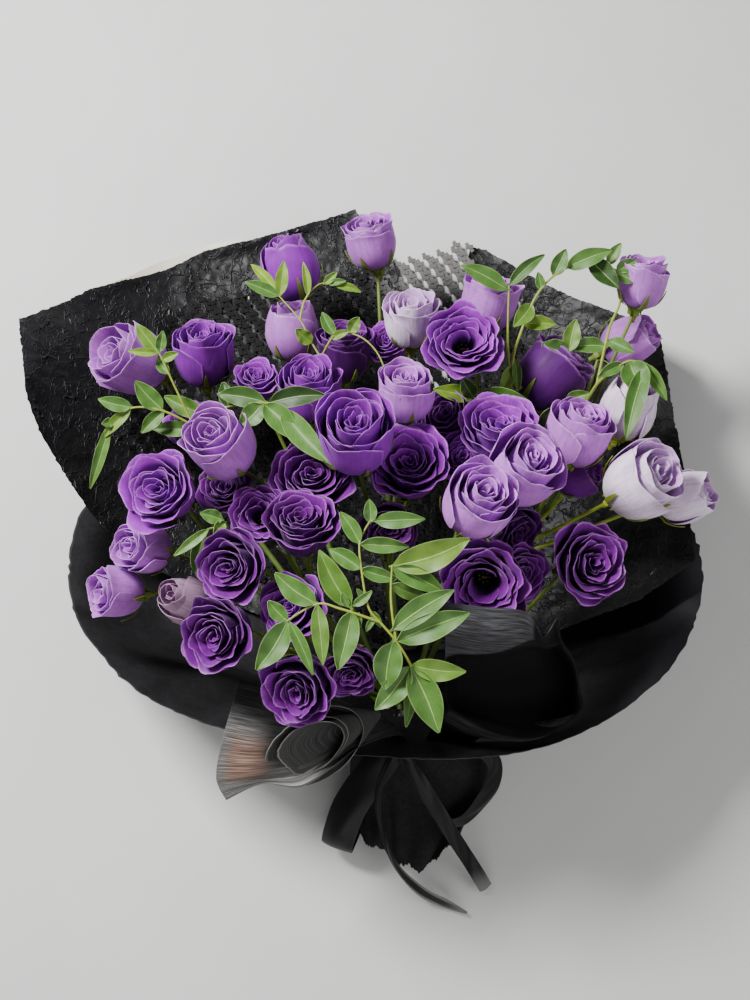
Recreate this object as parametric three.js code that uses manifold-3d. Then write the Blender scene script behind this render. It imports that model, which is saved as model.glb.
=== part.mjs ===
// A hand-tied bouquet of double lisianthus, lying on its back in a black paper wrap.
// Units are millimetres and +Z is up. +Y runs from the tie towards the flower heads.
// z = 0 is the table, and the origin is the middle of the flat of the wrap that rests on it.
import * as THREE from "three";
import { mergeVertices } from "three/addons/utils/BufferGeometryUtils.js";
import Module from "manifold-3d";

const wasm = await Module();
wasm.setup();

// The sight line of the reference picture: places are read from it as pixels, with a real height.
const SIGHT = {
  elevation: THREE.MathUtils.degToRad(78),
  distance: 1500,
  target: new THREE.Vector3(0, 0, 150),
  centrePixel: { across: 375, down: 500 },
  millimetresPerPixel: 0.8,
};

// The tie, where stems and paper are bound.
const TIE = { x: 20, y: -170, z: 32, neckRadius: 27, neckLength: 24, bandThickness: 2.2, bandWidth: 15 };

// The paper.
const PAPER = { thickness: 1.2, layerStep: 1.5, firstLayer: 3.6 };
const BOWL = {
  flatHalfWidth: 112, flatAtTie: 20, curve: 108, curveAtTie: 34, farWidening: 30, opensOver: 140,
};

// The green parts.
const STEM = { mainRadius: 2.5, branchRadius: 1.5, cutEnd: 52 };
const CALYX = { radius: 6, length: 13, sides: 5 };
const LEAF = { thickness: 0.9, keel: 0.22 };
const CLEARANCE = 0.35;
const SMOOTHING = 0.12;

// Head shapes: rings from the calyx out over the petal rims and down into the middle, each as
// [share of the radius, share of the depth, how far the petal edges wave there]. The hull is the
// plain outside of the same head, which neighbours keep clear of: [share, share, ring it follows].
const HEAD_FORMS = {
  bud: {
    depth: 1.0,
    rings: [
      [0.34, 0.05, 0], [0.82, 0.34, 0.02], [1.0, 0.66, 0.05], [0.92, 0.96, 0.08], [0.62, 0.86, 0.05],
      [0.5, 1.0, 0.1], [0.22, 0.88, 0.05],
    ],
    hull: [[0.34, 0.05, 0], [0.83, 0.32, 1], [1.0, 0.6, 2], [1.0, 0.72, 2], [0.95, 1.0, 3]],
    middle: 0.98,
  },
  cup: {
    depth: 0.92,
    rings: [
      [0.32, 0.06, 0], [0.78, 0.4, 0.02], [1.0, 0.86, 0.09], [0.78, 0.74, 0.04], [0.7, 1.0, 0.1],
      [0.46, 0.72, 0.05], [0.34, 0.97, 0.12],
    ],
    hull: [[0.32, 0.06, 0], [0.8, 0.37, 1], [1.0, 0.77, 2], [1.0, 0.88, 2], [0.78, 1.0, 4]],
    middle: 0.7,
  },
  full: {
    depth: 0.66,
    rings: [
      [0.3, 0.06, 0], [0.8, 0.42, 0.03], [1.0, 0.84, 0.09], [0.78, 0.66, 0.05], [0.7, 1.0, 0.1],
      [0.46, 0.66, 0.06], [0.36, 0.98, 0.12],
    ],
    hull: [[0.3, 0.06, 0], [0.82, 0.38, 1], [1.0, 0.75, 2], [1.0, 0.86, 2], [0.78, 1.0, 4]],
    middle: 0.66,
  },
  open: {
    depth: 0.6,
    rings: [
      [0.3, 0.06, 0], [0.82, 0.48, 0.03], [1.0, 0.9, 0.09], [0.8, 0.74, 0.05], [0.72, 1.0, 0.1],
      [0.52, 0.7, 0.06], [0.44, 0.96, 0.12],
    ],
    hull: [[0.3, 0.06, 0], [0.84, 0.44, 1], [1.0, 0.81, 2], [1.0, 0.92, 2], [0.8, 1.0, 4]],
    middle: 0.3,
  },
};
const PETALS = { around: 4, samples: 3, overlap: 0.1 };

// Every flower head, as seen: the pixel of its middle, the height of its middle over the table,
// its width, how far it is tipped away from the viewer, and the way that it is tipped, counted
// from picture-right towards picture-up, its form and its tone. Heads that are pressed together
// also name the group that they share.
const HEADS = [
  ["top", [371, 243], 100, 49, 62, 105, "cup", "lavender"],
  ["top_left", [291, 269], 84, 57, 72, 108, "bud", "violet"],
  ["upper_left", [292, 331], 92, 51, 60, 95, "bud", "lavender"],
  ["far_left", [132, 362], 122, 63, 52, 155, "cup", "lavender"],
  ["left_cup", [204, 356], 108, 57, 55, 92, "cup", "violet"],
  ["pale_upper", [411, 321], 150, 49, 50, 92, "cup", "pale"],
  ["upper_open", [463, 346], 178, 65, 16, 90, "open", "violet"],
  ["upper_bell", [487, 304], 118, 51, 68, 78, "cup", "lavender"],
  ["behind_left", [344, 354], 112, 50, 56, 90, "cup", "deep", "behind_pair"],
  ["behind_pale", [389, 345], 108, 41, 32, 120, "full", "violet", "behind_pair"],
  ["centre_cup", [405, 394], 214, 47, 52, 90, "cup", "lavender"],
  ["dark_bell", [549, 377], 134, 60, 68, 65, "bud", "deep"],
  ["right_bud", [629, 341], 98, 50, 66, 25, "bud", "lavender"],
  ["far_right_top", [641, 283], 150, 46, 66, 80, "cup", "lavender"],
  ["right_pale", [626, 410], 142, 53, 56, 70, "bud", "pale"],
  ["right_cup", [578, 435], 176, 55, 56, 72, "cup", "lavender"],
  ["right_white", [640, 483], 178, 63, 48, 35, "cup", "pale"],
  ["far_right", [684, 497], 132, 50, 60, 12, "bud", "pale"],
  ["centre_left", [355, 437], 246, 63, 34, 92, "cup", "violet"],
  ["left_lilac", [221, 446], 218, 57, 40, 125, "cup", "lavender"],
  ["behind_leaves", [310, 392], 158, 55, 50, 90, "cup", "violet"],
  ["small_back", [258, 383], 122, 41, 40, 100, "full", "violet"],
  ["centre", [410, 471], 204, 68, 12, 100, "full", "violet"],
  ["centre_right", [500, 430], 186, 70, 30, 88, "full", "violet", "centre_right_three"],
  ["behind_centre", [453, 425], 160, 48, 42, 130, "cup", "deep", "centre_right_three"],
  ["between_lilacs", [461, 461], 176, 48, 22, 80, "full", "violet", "centre_right_three"],
  ["lilac_right", [523, 469], 240, 60, 36, 55, "cup", "lavender"],
  ["lilac_centre", [477, 504], 258, 59, 34, 62, "cup", "lavender"],
  ["left_violet", [166, 494], 208, 66, 28, 150, "full", "violet"],
  ["left_small", [145, 548], 166, 47, 50, 175, "cup", "pale"],
  ["left_low_bud", [119, 596], 150, 50, 68, 188, "bud", "lavender"],
  ["faded", [186, 600], 160, 43, 46, 150, "bud", "faded"],
  ["behind_lilac", [227, 491], 164, 48, 26, 120, "full", "deep"],
  ["middle_deep", [312, 480], 196, 65, 20, 85, "full", "deep", "middle_pair"],
  ["ring_open", [262, 517], 198, 52, 16, 120, "open", "deep", "middle_pair"],
  ["flat_spiral", [303, 532], 228, 60, 12, 80, "full", "deep"],
  ["left_ruffled", [236, 565], 232, 59, 26, 195, "full", "deep"],
  ["low_left", [222, 632], 226, 61, 26, 205, "full", "deep"],
  ["under_spray", [296, 609], 216, 55, 24, 160, "full", "violet"],
  ["low_front", [302, 684], 220, 62, 26, 235, "full", "deep", "low_pair"],
  ["low_small", [353, 667], 208, 46, 28, 250, "full", "deep", "low_pair"],
  ["front_open", [484, 580], 226, 72, 12, 250, "open", "deep", "front_open_pair"],
  ["front_behind", [519, 571], 206, 44, 20, 350, "full", "deep", "front_open_pair"],
  ["front_right", [585, 563], 204, 68, 20, 10, "full", "deep"],
  ["in_shadow", [508, 524], 196, 44, 42, 320, "cup", "deep"],
  ["dark_middle", [389, 523], 168, 48, 30, 270, "full", "deep"],
  ["small_right", [578, 476], 126, 37, 58, 15, "bud", "violet"],
  ["left_hidden", [193, 428], 130, 46, 36, 110, "full", "violet"],
].map(([name, seen, height, width, tilt, heading, form, tone, group]) => (
  { name, seen, height, width, tilt, heading, form, tone, group }
));

// Leafy sprays. A stalk is a list of [across, down, height]; a leaf is [across and down of its
// foot, across and down of its tip, height of foot, height of tip, width].
const SPRAYS = {
  spray_front: {
    stalkRadius: 1.1, root: "front_fork",
    stalks: [
      [
        [418, 690, 200], [411, 666, 246], [396, 641, 258], [380, 622, 262], [368, 606, 264],
        [361, 566, 264], [360, 541, 262], [370, 521, 258],
      ],
      [[380, 622, 262], [341, 609, 264], [317, 604, 262], [287, 621, 258]],
      [[396, 641, 258], [391, 600, 262], [392, 566, 262]],
    ],
    leaves: [
      [370, 523, 369, 499, 258, 262, 9], [374, 521, 425, 519, 258, 262, 12], [360, 544, 340, 512, 262, 264, 11],
      [360, 544, 409, 547, 262, 262, 11], [361, 569, 329, 549, 264, 262, 12], [361, 569, 397, 579, 264, 260, 10],
      [351, 608, 319, 550, 264, 270, 17], [317, 604, 275, 573, 262, 262, 16], [287, 621, 268, 601, 258, 260, 11],
      [287, 621, 256, 670, 258, 250, 18], [289, 621, 313, 675, 258, 254, 9], [317, 604, 323, 665, 262, 256, 12],
      [352, 610, 338, 670, 264, 258, 17], [353, 606, 372, 591, 264, 268, 6], [359, 613, 358, 630, 263, 258, 5],
      [410, 666, 375, 710, 246, 238, 18], [411, 667, 439, 733, 246, 236, 22], [411, 665, 466, 672, 246, 246, 15],
      [410, 668, 406, 727, 245, 222, 9], [393, 641, 385, 690, 258, 246, 20], [392, 630, 454, 590, 260, 268, 17],
      [396, 641, 470, 613, 258, 262, 19], [392, 566, 470, 539, 262, 268, 21], [392, 568, 444, 592, 262, 258, 15],
      [391, 584, 427, 598, 262, 248, 10],
    ],
  },
  spray_left: {
    stalkRadius: 1.1, root: "far_left_fork",
    stalks: [
      [[205, 442, 152], [194, 426, 158], [176, 389, 168], [163, 361, 174], [158, 351, 176]],
      [[194, 426, 158], [163, 411, 166], [132, 408, 166], [110, 424, 158]],
    ],
    leaves: [
      [158, 352, 136, 324, 176, 180, 11], [160, 352, 163, 331, 176, 184, 8], [158, 353, 128, 351, 176, 180, 6],
      [162, 360, 178, 353, 175, 180, 7], [169, 374, 157, 358, 171, 166, 8], [163, 410, 135, 381, 166, 174, 15],
      [132, 407, 98, 399, 166, 170, 11], [164, 411, 141, 433, 166, 160, 11], [131, 409, 104, 437, 165, 156, 9],
      [114, 421, 102, 424, 159, 164, 7], [110, 424, 90, 489, 158, 132, 9], [205, 414, 164, 396, 152, 152, 14],
      [193, 430, 153, 429, 156, 150, 12],
    ],
  },
  spray_middle: {
    stalkRadius: 1.1, root: "upper_left_fork",
    stalks: [
      [[291, 432, 184], [278, 408, 204], [266, 403, 206], [246, 404, 204], [220, 408, 190]],
    ],
    leaves: [
      [266, 402, 217, 394, 206, 202, 15], [268, 403, 325, 395, 206, 214, 15], [262, 404, 240, 426, 206, 204, 16],
      [264, 404, 298, 440, 206, 214, 18], [282, 410, 332, 465, 203, 214, 18], [228, 407, 223, 382, 194, 192, 11],
    ],
  },
  spray_top: {
    stalkRadius: 0.9, root: "upper_fork",
    stalks: [
      [[321, 358, 141], [309, 338, 140], [300, 320, 138], [279, 296, 134]],
      [[300, 320, 138], [304, 302, 138], [313, 289, 137], [324, 283, 136], [340, 286, 136]],
      [
        [321, 358, 141], [327, 346, 148], [335, 335, 152], [348, 333, 154], [364, 339, 158],
        [378, 354, 176], [388, 378, 226],
      ],
    ],
    leaves: [
      [279, 296, 245, 282, 134, 138, 10], [278, 294, 250, 263, 134, 124, 8], [280, 296, 284, 261, 134, 142, 10],
      [324, 284, 337, 272, 136, 140, 6], [328, 284, 346, 281, 136, 140, 5], [335, 285, 361, 292, 136, 136, 6],
      [308, 296, 303, 262, 137, 144, 6], [312, 343, 296, 329, 142, 152, 11], [335, 335, 322, 312, 152, 154, 9],
      [350, 333, 359, 317, 154, 160, 10], [331, 339, 350, 331, 150, 158, 6],
    ],
  },
  spray_centre: {
    stalkRadius: 1.2, root: "upper_right_fork",
    stalks: [
      [
        [511, 393, 144], [513, 359, 158], [521, 332, 166], [534, 300, 172], [549, 280, 174],
        [567, 268, 174], [590, 258, 172], [616, 270, 166],
      ],
      [[511, 393, 144], [508, 350, 150], [508, 322, 156], [509, 286, 160]],
      [[511, 393, 144], [540, 376, 150], [570, 352, 158]],
      [[511, 393, 144], [492, 402, 158], [473, 396, 168]],
      [[511, 393, 144], [530, 424, 154], [545, 432, 160], [566, 400, 160]],
    ],
    leaves: [
      [508, 290, 461, 265, 160, 166, 14], [509, 286, 545, 254, 160, 164, 10], [532, 304, 514, 326, 171, 180, 13],
      [524, 324, 556, 324, 168, 170, 11], [541, 290, 538, 272, 173, 178, 7], [553, 276, 566, 249, 174, 180, 12],
      [566, 268, 612, 250, 174, 182, 14], [589, 258, 619, 288, 172, 172, 16], [608, 265, 621, 243, 168, 172, 9],
      [616, 271, 637, 260, 166, 170, 10], [616, 272, 636, 282, 166, 168, 11], [514, 366, 501, 392, 156, 160, 10],
      [515, 360, 518, 392, 156, 158, 7], [568, 352, 542, 344, 158, 164, 16], [569, 352, 576, 319, 158, 164, 13],
      [474, 397, 529, 401, 168, 176, 14], [475, 397, 434, 389, 168, 176, 13], [474, 398, 462, 378, 168, 182, 12],
      [543, 432, 550, 408, 160, 166, 14], [565, 401, 590, 393, 160, 166, 10],
    ],
  },
  spray_right: {
    stalkRadius: 1.3, root: "right_fork",
    stalks: [
      [[584, 406, 140], [597, 384, 158], [612, 371, 166], [629, 361, 172], [646, 364, 172]],
      [[597, 384, 158], [609, 330, 156], [619, 306, 152], [622, 290, 150]],
    ],
    leaves: [
      [606, 346, 571, 347, 157, 156, 12], [608, 340, 634, 352, 156, 164, 11], [629, 361, 646, 393, 172, 178, 22],
      [644, 363, 667, 400, 172, 170, 10], [646, 366, 627, 438, 172, 182, 15], [624, 364, 598, 377, 170, 172, 9],
    ],
  },
  spray_low: {
    stalkRadius: 0.9, root: "left_fork",
    stalks: [
      [[233, 540, 194], [227, 525, 226], [223, 520, 234]],
      [[227, 525, 226], [209, 529, 234], [203, 533, 232]],
    ],
    leaves: [
      [223, 520, 200, 513, 234, 238, 10], [225, 523, 214, 534, 232, 238, 8], [209, 529, 174, 556, 236, 232, 7],
      [205, 532, 194, 575, 233, 212, 11],
    ],
  },
};

const vector = (x, y, z) => new THREE.Vector3(x, y, z);
const mix = (a, b, share) => a + (b - a) * share;
const smooth = (x) => THREE.MathUtils.smoothstep(x, 0, 1);

// The viewer's place, and picture-right and picture-up in the part's frame.
const { elevation, distance, target } = SIGHT;
const TO_VIEWER = vector(0, -Math.cos(elevation), Math.sin(elevation));
const PICTURE_RIGHT = vector(1, 0, 0);
const PICTURE_UP = vector(0, Math.sin(elevation), Math.cos(elevation));
const VIEWER = target.clone().addScaledVector(TO_VIEWER, distance);

// The point at a height over the table that shows at a pixel of the picture.
function seenAt(across, down, height) {
  const onTarget = target.clone()
    .addScaledVector(PICTURE_RIGHT, (across - SIGHT.centrePixel.across) * SIGHT.millimetresPerPixel)
    .addScaledVector(PICTURE_UP, (SIGHT.centrePixel.down - down) * SIGHT.millimetresPerPixel);
  const ray = onTarget.sub(VIEWER);
  return VIEWER.clone().addScaledVector(ray, (height - VIEWER.z) / ray.z);
}

// Height of the wrap's back over the table: flat in the middle, rising to both sides.
function bowlHeight(x, y) {
  const open = smooth((y - TIE.y) / BOWL.opensOver);
  const far = Math.max(0, Math.min(1, y / 250));
  const half = mix(BOWL.flatAtTie, BOWL.flatHalfWidth, open) + BOWL.farWidening * far;
  const beyond = Math.max(0, Math.abs(x - mix(TIE.x, 0, open)) - half);
  return (beyond * beyond) / (2 * mix(BOWL.curveAtTie, BOWL.curve, open));
}

// The point of the wrap's back, raised by lift, that shows at a pixel.
function onBowl(across, down, lift) {
  let point = seenAt(across, down, lift);
  for (let turn = 0; turn < 12; turn++) {
    point = seenAt(across, down, mix(point.z, bowlHeight(point.x, point.y) + lift, 0.6));
  }
  return point;
}

// Solids.
function solidFrom(geometry) {
  const bare = geometry.clone();
  bare.deleteAttribute("normal");
  bare.deleteAttribute("uv");
  const merged = mergeVertices(bare, 1e-4);
  const make = (triVerts) => new wasm.Manifold(
    new wasm.Mesh({ numProp: 3, vertProperties: merged.attributes.position.array, triVerts }),
  );
  const faces = new Uint32Array(merged.index.array);
  const solid = make(faces);
  return solid.volume() >= 0 ? solid : make(faces.reverse());
}

function geometryFrom(solid) {
  const mesh = solid.getMesh();
  const positions = new Float32Array(mesh.numVert * 3);
  for (let i = 0; i < mesh.numVert; i++) {
    positions.set(mesh.vertProperties.subarray(i * mesh.numProp, i * mesh.numProp + 3), i * 3);
  }
  const geometry = new THREE.BufferGeometry();
  geometry.setAttribute("position", new THREE.BufferAttribute(positions, 3));
  geometry.setIndex(new THREE.BufferAttribute(new Uint32Array(mesh.triVerts), 1));
  return geometry;
}

function indexed(points, faces) {
  const geometry = new THREE.BufferGeometry();
  const coordinates = points.flatMap((p) => p.toArray());
  geometry.setAttribute("position", new THREE.Float32BufferAttribute(coordinates, 3));
  geometry.setIndex(faces);
  return geometry;
}

function union(solids) {
  return solids.reduce((joined, next) => joined.add(next));
}

// The solid less what would cross a neighbour, with any scrap that this cuts loose dropped.
function clearOf(solid, neighbours) {
  const box = solid.boundingBox();
  const near = neighbours.filter(({ bounds }) => [0, 1, 2].every(
    (k) => bounds.min[k] < box.max[k] && bounds.max[k] > box.min[k],
  ));
  const cut = near.reduce((rest, { shape }) => rest.subtract(shape), solid);
  return cut.decompose().reduce((best, piece) => (piece.volume() > best.volume() ? piece : best));
}

const keepOut = (shape) => ({ shape, bounds: shape.boundingBox() });

// A sheet of paper over a grid: middle(i, j) gives its mid-surface for whole-number i and j.
function sheetSolid(columns, rows, middle, { thickness = PAPER.thickness, closed = false } = {}) {
  const wide = closed ? columns : columns + 1;
  const within = (n, most) => Math.max(0, Math.min(most, n));
  const at = (i, j) => middle(closed ? (i + columns) % columns : within(i, columns), within(j, rows));
  const points = [];
  for (const side of [0.5, -0.5]) {
    for (let j = 0; j <= rows; j++) {
      for (let i = 0; i < wide; i++) {
        const along = at(i + 1, j).sub(at(i - 1, j));
        const up = at(i, j + 1).sub(at(i, j - 1));
        const normal = along.cross(up).normalize();
        points.push(at(i, j).addScaledVector(normal, side * thickness));
      }
    }
  }
  const lower = wide * (rows + 1);
  const id = (i, j, side) => (i % wide) + j * wide + side * lower;
  const faces = [];
  const quad = (a, b, c, d) => faces.push(a, b, c, a, c, d);
  for (let j = 0; j < rows; j++) {
    for (let i = 0; i < columns; i++) {
      const [a, b, c, d] = [[i, j], [i + 1, j], [i + 1, j + 1], [i, j + 1]];
      quad(id(...a, 0), id(...b, 0), id(...c, 0), id(...d, 0));
      faces.push(id(...a, 1), id(...c, 1), id(...b, 1), id(...a, 1), id(...d, 1), id(...c, 1));
    }
  }
  for (let i = 0; i < columns; i++) {
    quad(id(i, 0, 1), id(i + 1, 0, 1), id(i + 1, 0, 0), id(i, 0, 0));
    quad(id(i + 1, rows, 1), id(i, rows, 1), id(i, rows, 0), id(i + 1, rows, 0));
  }
  if (!closed) {
    for (let j = 0; j < rows; j++) {
      quad(id(0, j + 1, 1), id(0, j, 1), id(0, j, 0), id(0, j + 1, 0));
      quad(id(columns, j, 1), id(columns, j + 1, 1), id(columns, j + 1, 0), id(columns, j, 0));
    }
  }
  return solidFrom(indexed(points, faces));
}

// A stalk along a curve.
function stalkSolid(points, radius, sides, steps) {
  const ring = Array.from({ length: sides }, (_, k) => {
    const angle = (2 * Math.PI * k) / sides;
    return new THREE.Vector2(radius * Math.cos(angle), radius * Math.sin(angle));
  });
  const path = new THREE.CatmullRomCurve3(points, false, "centripetal");
  const section = new THREE.Shape(ring);
  return solidFrom(new THREE.ExtrudeGeometry(section, { steps, extrudePath: path, bevelEnabled: false }));
}

// Flower heads.
function headFrame({ seen, height, tilt, heading, width, form }) {
  const lean = THREE.MathUtils.degToRad(tilt);
  const turn = THREE.MathUtils.degToRad(heading);
  const facing = TO_VIEWER.clone().multiplyScalar(Math.cos(lean))
    .addScaledVector(PICTURE_RIGHT, Math.sin(lean) * Math.cos(turn))
    .addScaledVector(PICTURE_UP, Math.sin(lean) * Math.sin(turn));
  const depth = width * HEAD_FORMS[form].depth;
  const foot = seenAt(...seen, height).addScaledVector(facing, -0.5 * depth);
  const turned = new THREE.Quaternion().setFromUnitVectors(vector(0, 0, 1), facing);
  return { facing, foot, depth, placed: new THREE.Matrix4().compose(foot, turned, vector(1, 1, 1)) };
}

// A closed surface over rings about the head's axis, each ring a list of [angle, radius, height].
function ringedSolid(bottom, rings, top, placed) {
  const around = rings[0].length;
  const points = [vector(0, 0, bottom)];
  for (const [angle, out, up] of rings.flat()) {
    points.push(vector(out * Math.cos(angle), out * Math.sin(angle), up));
  }
  points.push(vector(0, 0, top));
  const faces = [];
  const last = points.length - 1;
  for (let k = 0; k < around; k++) {
    const next = (k + 1) % around;
    faces.push(0, 1 + next, 1 + k);
    for (let r = 0; r < rings.length - 1; r++) {
      const [a, b] = [1 + r * around + k, 1 + r * around + next];
      faces.push(a, b, b + around, a, b + around, a + around);
    }
    faces.push(last, last - around + k, last - around + next);
  }
  return solidFrom(indexed(points.map((p) => p.applyMatrix4(placed)), faces));
}

const AROUND = PETALS.around * PETALS.samples;
const ringAngle = (k, ringIndex) => (2 * Math.PI * (k + 0.4 * ringIndex)) / AROUND;
const eachSample = (make) => Array.from({ length: AROUND }, (_, k) => make(k));

// A head with its petals raised from the surface: each whorl overlaps like shingles, the rims
// dip where two petals meet, and the whorls stagger.
function headSolid(head) {
  const { rings, middle } = HEAD_FORMS[head.form];
  const { depth, placed } = headFrame(head);
  const petalled = rings.map(([share, up, wave], ringIndex) => eachSample((k) => {
    const step = (k + ringIndex) % PETALS.samples;
    const tucked = 1 - (PETALS.overlap * wave * 10 * step) / PETALS.samples;
    const dip = step === 0 ? wave * 0.9 : 0;
    return [ringAngle(k, ringIndex), (head.width / 2) * share * tucked, depth * (up - dip)];
  }));
  return ringedSolid(0, petalled, depth * middle, placed);
}

// The space round a head that its neighbours leave free.
function hullSolid(head) {
  const { hull } = HEAD_FORMS[head.form];
  const { depth, placed } = headFrame(head);
  const rings = hull.map(([share, up, ringIndex], rank) => eachSample((k) => [
    ringAngle(k, ringIndex), (head.width / 2) * share + CLEARANCE,
    depth * up + (rank === hull.length - 1 ? CLEARANCE : 0),
  ]));
  return ringedSolid(-CLEARANCE, rings, depth + CLEARANCE, placed);
}

// A pointed blade, keeled along its rib, from a foot sunk in its stalk to its tip.
function leafSolid([footAcross, footDown, tipAcross, tipDown, footHeight, tipHeight, width]) {
  const foot = seenAt(footAcross, footDown, footHeight);
  const tip = seenAt(tipAcross, tipDown, tipHeight);
  const along = tip.clone().sub(foot);
  const length = along.length();
  const side = along.clone().cross(TO_VIEWER).normalize();
  const face = side.clone().cross(along).normalize();
  const at = (share, across, lift) => foot.clone()
    .addScaledVector(along, share)
    .addScaledVector(side, across * width)
    .addScaledVector(face, lift + 0.06 * length * Math.sin(Math.PI * share));
  const outline = [
    [-0.02, 0.08], [0.32, 0.42], [0.62, 0.46], [1, 0.02], [1, -0.02], [0.62, -0.46], [0.32, -0.42],
    [-0.02, -0.08],
  ];
  const rib = [[0.1, 0], [0.45, 0]];
  const keel = -LEAF.keel * width;
  const layer = (lift) => [
    ...outline.map(([share, across]) => at(share, across, lift)),
    ...rib.map(([share]) => at(share, 0, lift + keel * 0.6)),
  ];
  const points = [...layer(LEAF.thickness / 2), ...layer(-LEAF.thickness / 2)];
  const count = outline.length + rib.length;
  const top = [
    [0, 1, 8], [1, 9, 8], [1, 2, 9], [2, 3, 9], [3, 4, 9], [4, 5, 9], [5, 6, 9], [6, 8, 9], [6, 7, 8],
    [7, 0, 8],
  ];
  const faces = top.flatMap(([a, b, c]) => [a, b, c, c + count, b + count, a + count]);
  for (let k = 0; k < outline.length; k++) {
    const next = (k + 1) % outline.length;
    faces.push(next, k, k + count, next, k + count, next + count);
  }
  return solidFrom(indexed(points, faces));
}

function spraySolid({ stalkRadius, root, stalks, leaves }) {
  const stalkSolids = stalks.map((route) => stalkSolid(
    route.map((place) => seenAt(...place)), stalkRadius, 4, Math.max(3, Math.round(route.length * 1.3)),
  ));
  const from = seenAt(...FORKS.find(({ name }) => name === root).fork);
  const foot = stalkSolid(bentClear([from, seenAt(...stalks[0][0])], null), stalkRadius, 4, 6);
  return union([foot, ...stalkSolids, ...leaves.map(leafSolid)]);
}

// A main stem runs from its cut end through the tie to a fork, and a branch from there to each
// head, entering along the head's own line. Heads share the main stem that points their way.
const FORKS = [
  { name: "left_fork", fork: [225, 560, 90], spot: [-17, -4] },
  { name: "far_left_fork", fork: [215, 480, 60], spot: [-17, 6] },
  { name: "upper_left_fork", fork: [300, 470, 55], spot: [-8, 14] },
  { name: "upper_fork", fork: [385, 450, 60], spot: [1, 17] },
  { name: "upper_right_fork", fork: [480, 450, 60], spot: [10, 13] },
  { name: "right_fork", fork: [560, 490, 75], spot: [17, 5] },
  { name: "centre_fork", fork: [385, 560, 120], spot: [0, 3] },
  { name: "centre_right_fork", fork: [470, 570, 120], spot: [10, -2] },
  { name: "centre_left_fork", fork: [300, 580, 120], spot: [-8, 1] },
  { name: "front_left_fork", fork: [290, 650, 120], spot: [-10, -11] },
  { name: "front_right_fork", fork: [520, 620, 120], spot: [11, -11] },
  { name: "front_fork", fork: [412, 690, 150], spot: [1, -15] },
];

// A route bent clear of every head but its own: each inner point is pushed out of the heads that
// it is in and drawn towards the middle of its neighbours.
function bentClear(ends, own) {
  const count = own ? 9 : 6;
  const route = Array.from({ length: count }, (_, k) => ends[0].clone().lerp(ends[1], k / (count - 1)));
  const others = HEADS.filter((head) => head !== own).map((head) => {
    const { foot, facing, depth } = headFrame(head);
    return { middle: foot.clone().addScaledVector(facing, depth * 0.5), reach: head.width * 0.5 + 6 };
  });
  for (let turn = 0; turn < 120; turn++) {
    for (let k = 1; k < count - 1; k++) {
      route[k].lerp(route[k - 1].clone().lerp(route[k + 1], 0.5), 0.3);
      for (const { middle, reach } of others) {
        const away = route[k].clone().sub(middle);
        if (away.length() < reach) {
          away.z -= 3;
          route[k].copy(middle).addScaledVector(away.normalize(), reach);
        }
      }
      route[k].z = Math.max(route[k].z, bowlHeight(route[k].x, route[k].y) + 14);
    }
  }
  return route;
}

function stemsSolid(grow = 0) {
  const forks = FORKS.map(({ fork, spot }) => {
    const through = vector(TIE.x + spot[0], TIE.y, TIE.z - spot[1] * 0.9);
    const beyond = vector(TIE.x + spot[0], TIE.y + 20, TIE.z - spot[1] * 0.8);
    const end = vector(TIE.x + spot[0] * 0.9, TIE.y - STEM.cutEnd, TIE.z - 6 - spot[1] * 0.4);
    return { through, beyond, end, top: seenAt(...fork) };
  });
  const mains = forks.map(({ through, beyond, end, top }) => {
    const route = bentClear([beyond, top], null);
    const [before, last] = route.slice(-2);
    last.add(last.clone().sub(before).setLength(0.01 + grow));
    return stalkSolid([end, through, ...route], STEM.mainRadius + grow, 4, 6);
  });
  const branches = HEADS.flatMap((head) => {
    const { facing, foot } = headFrame(head);
    const below = foot.clone().addScaledVector(facing, -20);
    const nearest = forks.reduce((best, each) => (
      each.top.distanceTo(below) < best.top.distanceTo(below) ? each : best
    ));
    nearest.carried = (nearest.carried ?? 0) + 1;
    const start = nearest.top.clone().lerp(nearest.beyond, 0.01 + 0.05 * nearest.carried);
    const end = foot.clone().addScaledVector(facing, -CLEARANCE - 3);
    const calyx = new THREE.CylinderGeometry(CALYX.radius + grow, 1.4 + grow, CALYX.length, CALYX.sides, 1);
    calyx.rotateX(Math.PI / 2);
    calyx.applyQuaternion(new THREE.Quaternion().setFromUnitVectors(vector(0, 0, 1), facing));
    const middle = foot.clone().addScaledVector(facing, -CALYX.length / 2 - CLEARANCE - 0.05);
    calyx.translate(...middle.toArray());
    return [stalkSolid(bentClear([start, end], head), STEM.branchRadius + grow, 3, 6), solidFrom(calyx)];
  });
  const bundleRadius = TIE.neckRadius - PAPER.thickness / 2 - CLEARANCE + grow;
  const bundle = new THREE.CylinderGeometry(bundleRadius, bundleRadius, TIE.neckLength - 6, RIM.length, 1);
  bundle.rotateY(Math.PI / RIM.length);
  bundle.translate(TIE.x, TIE.y, TIE.z);
  return union([solidFrom(bundle), ...mains, ...branches]);
}

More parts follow.
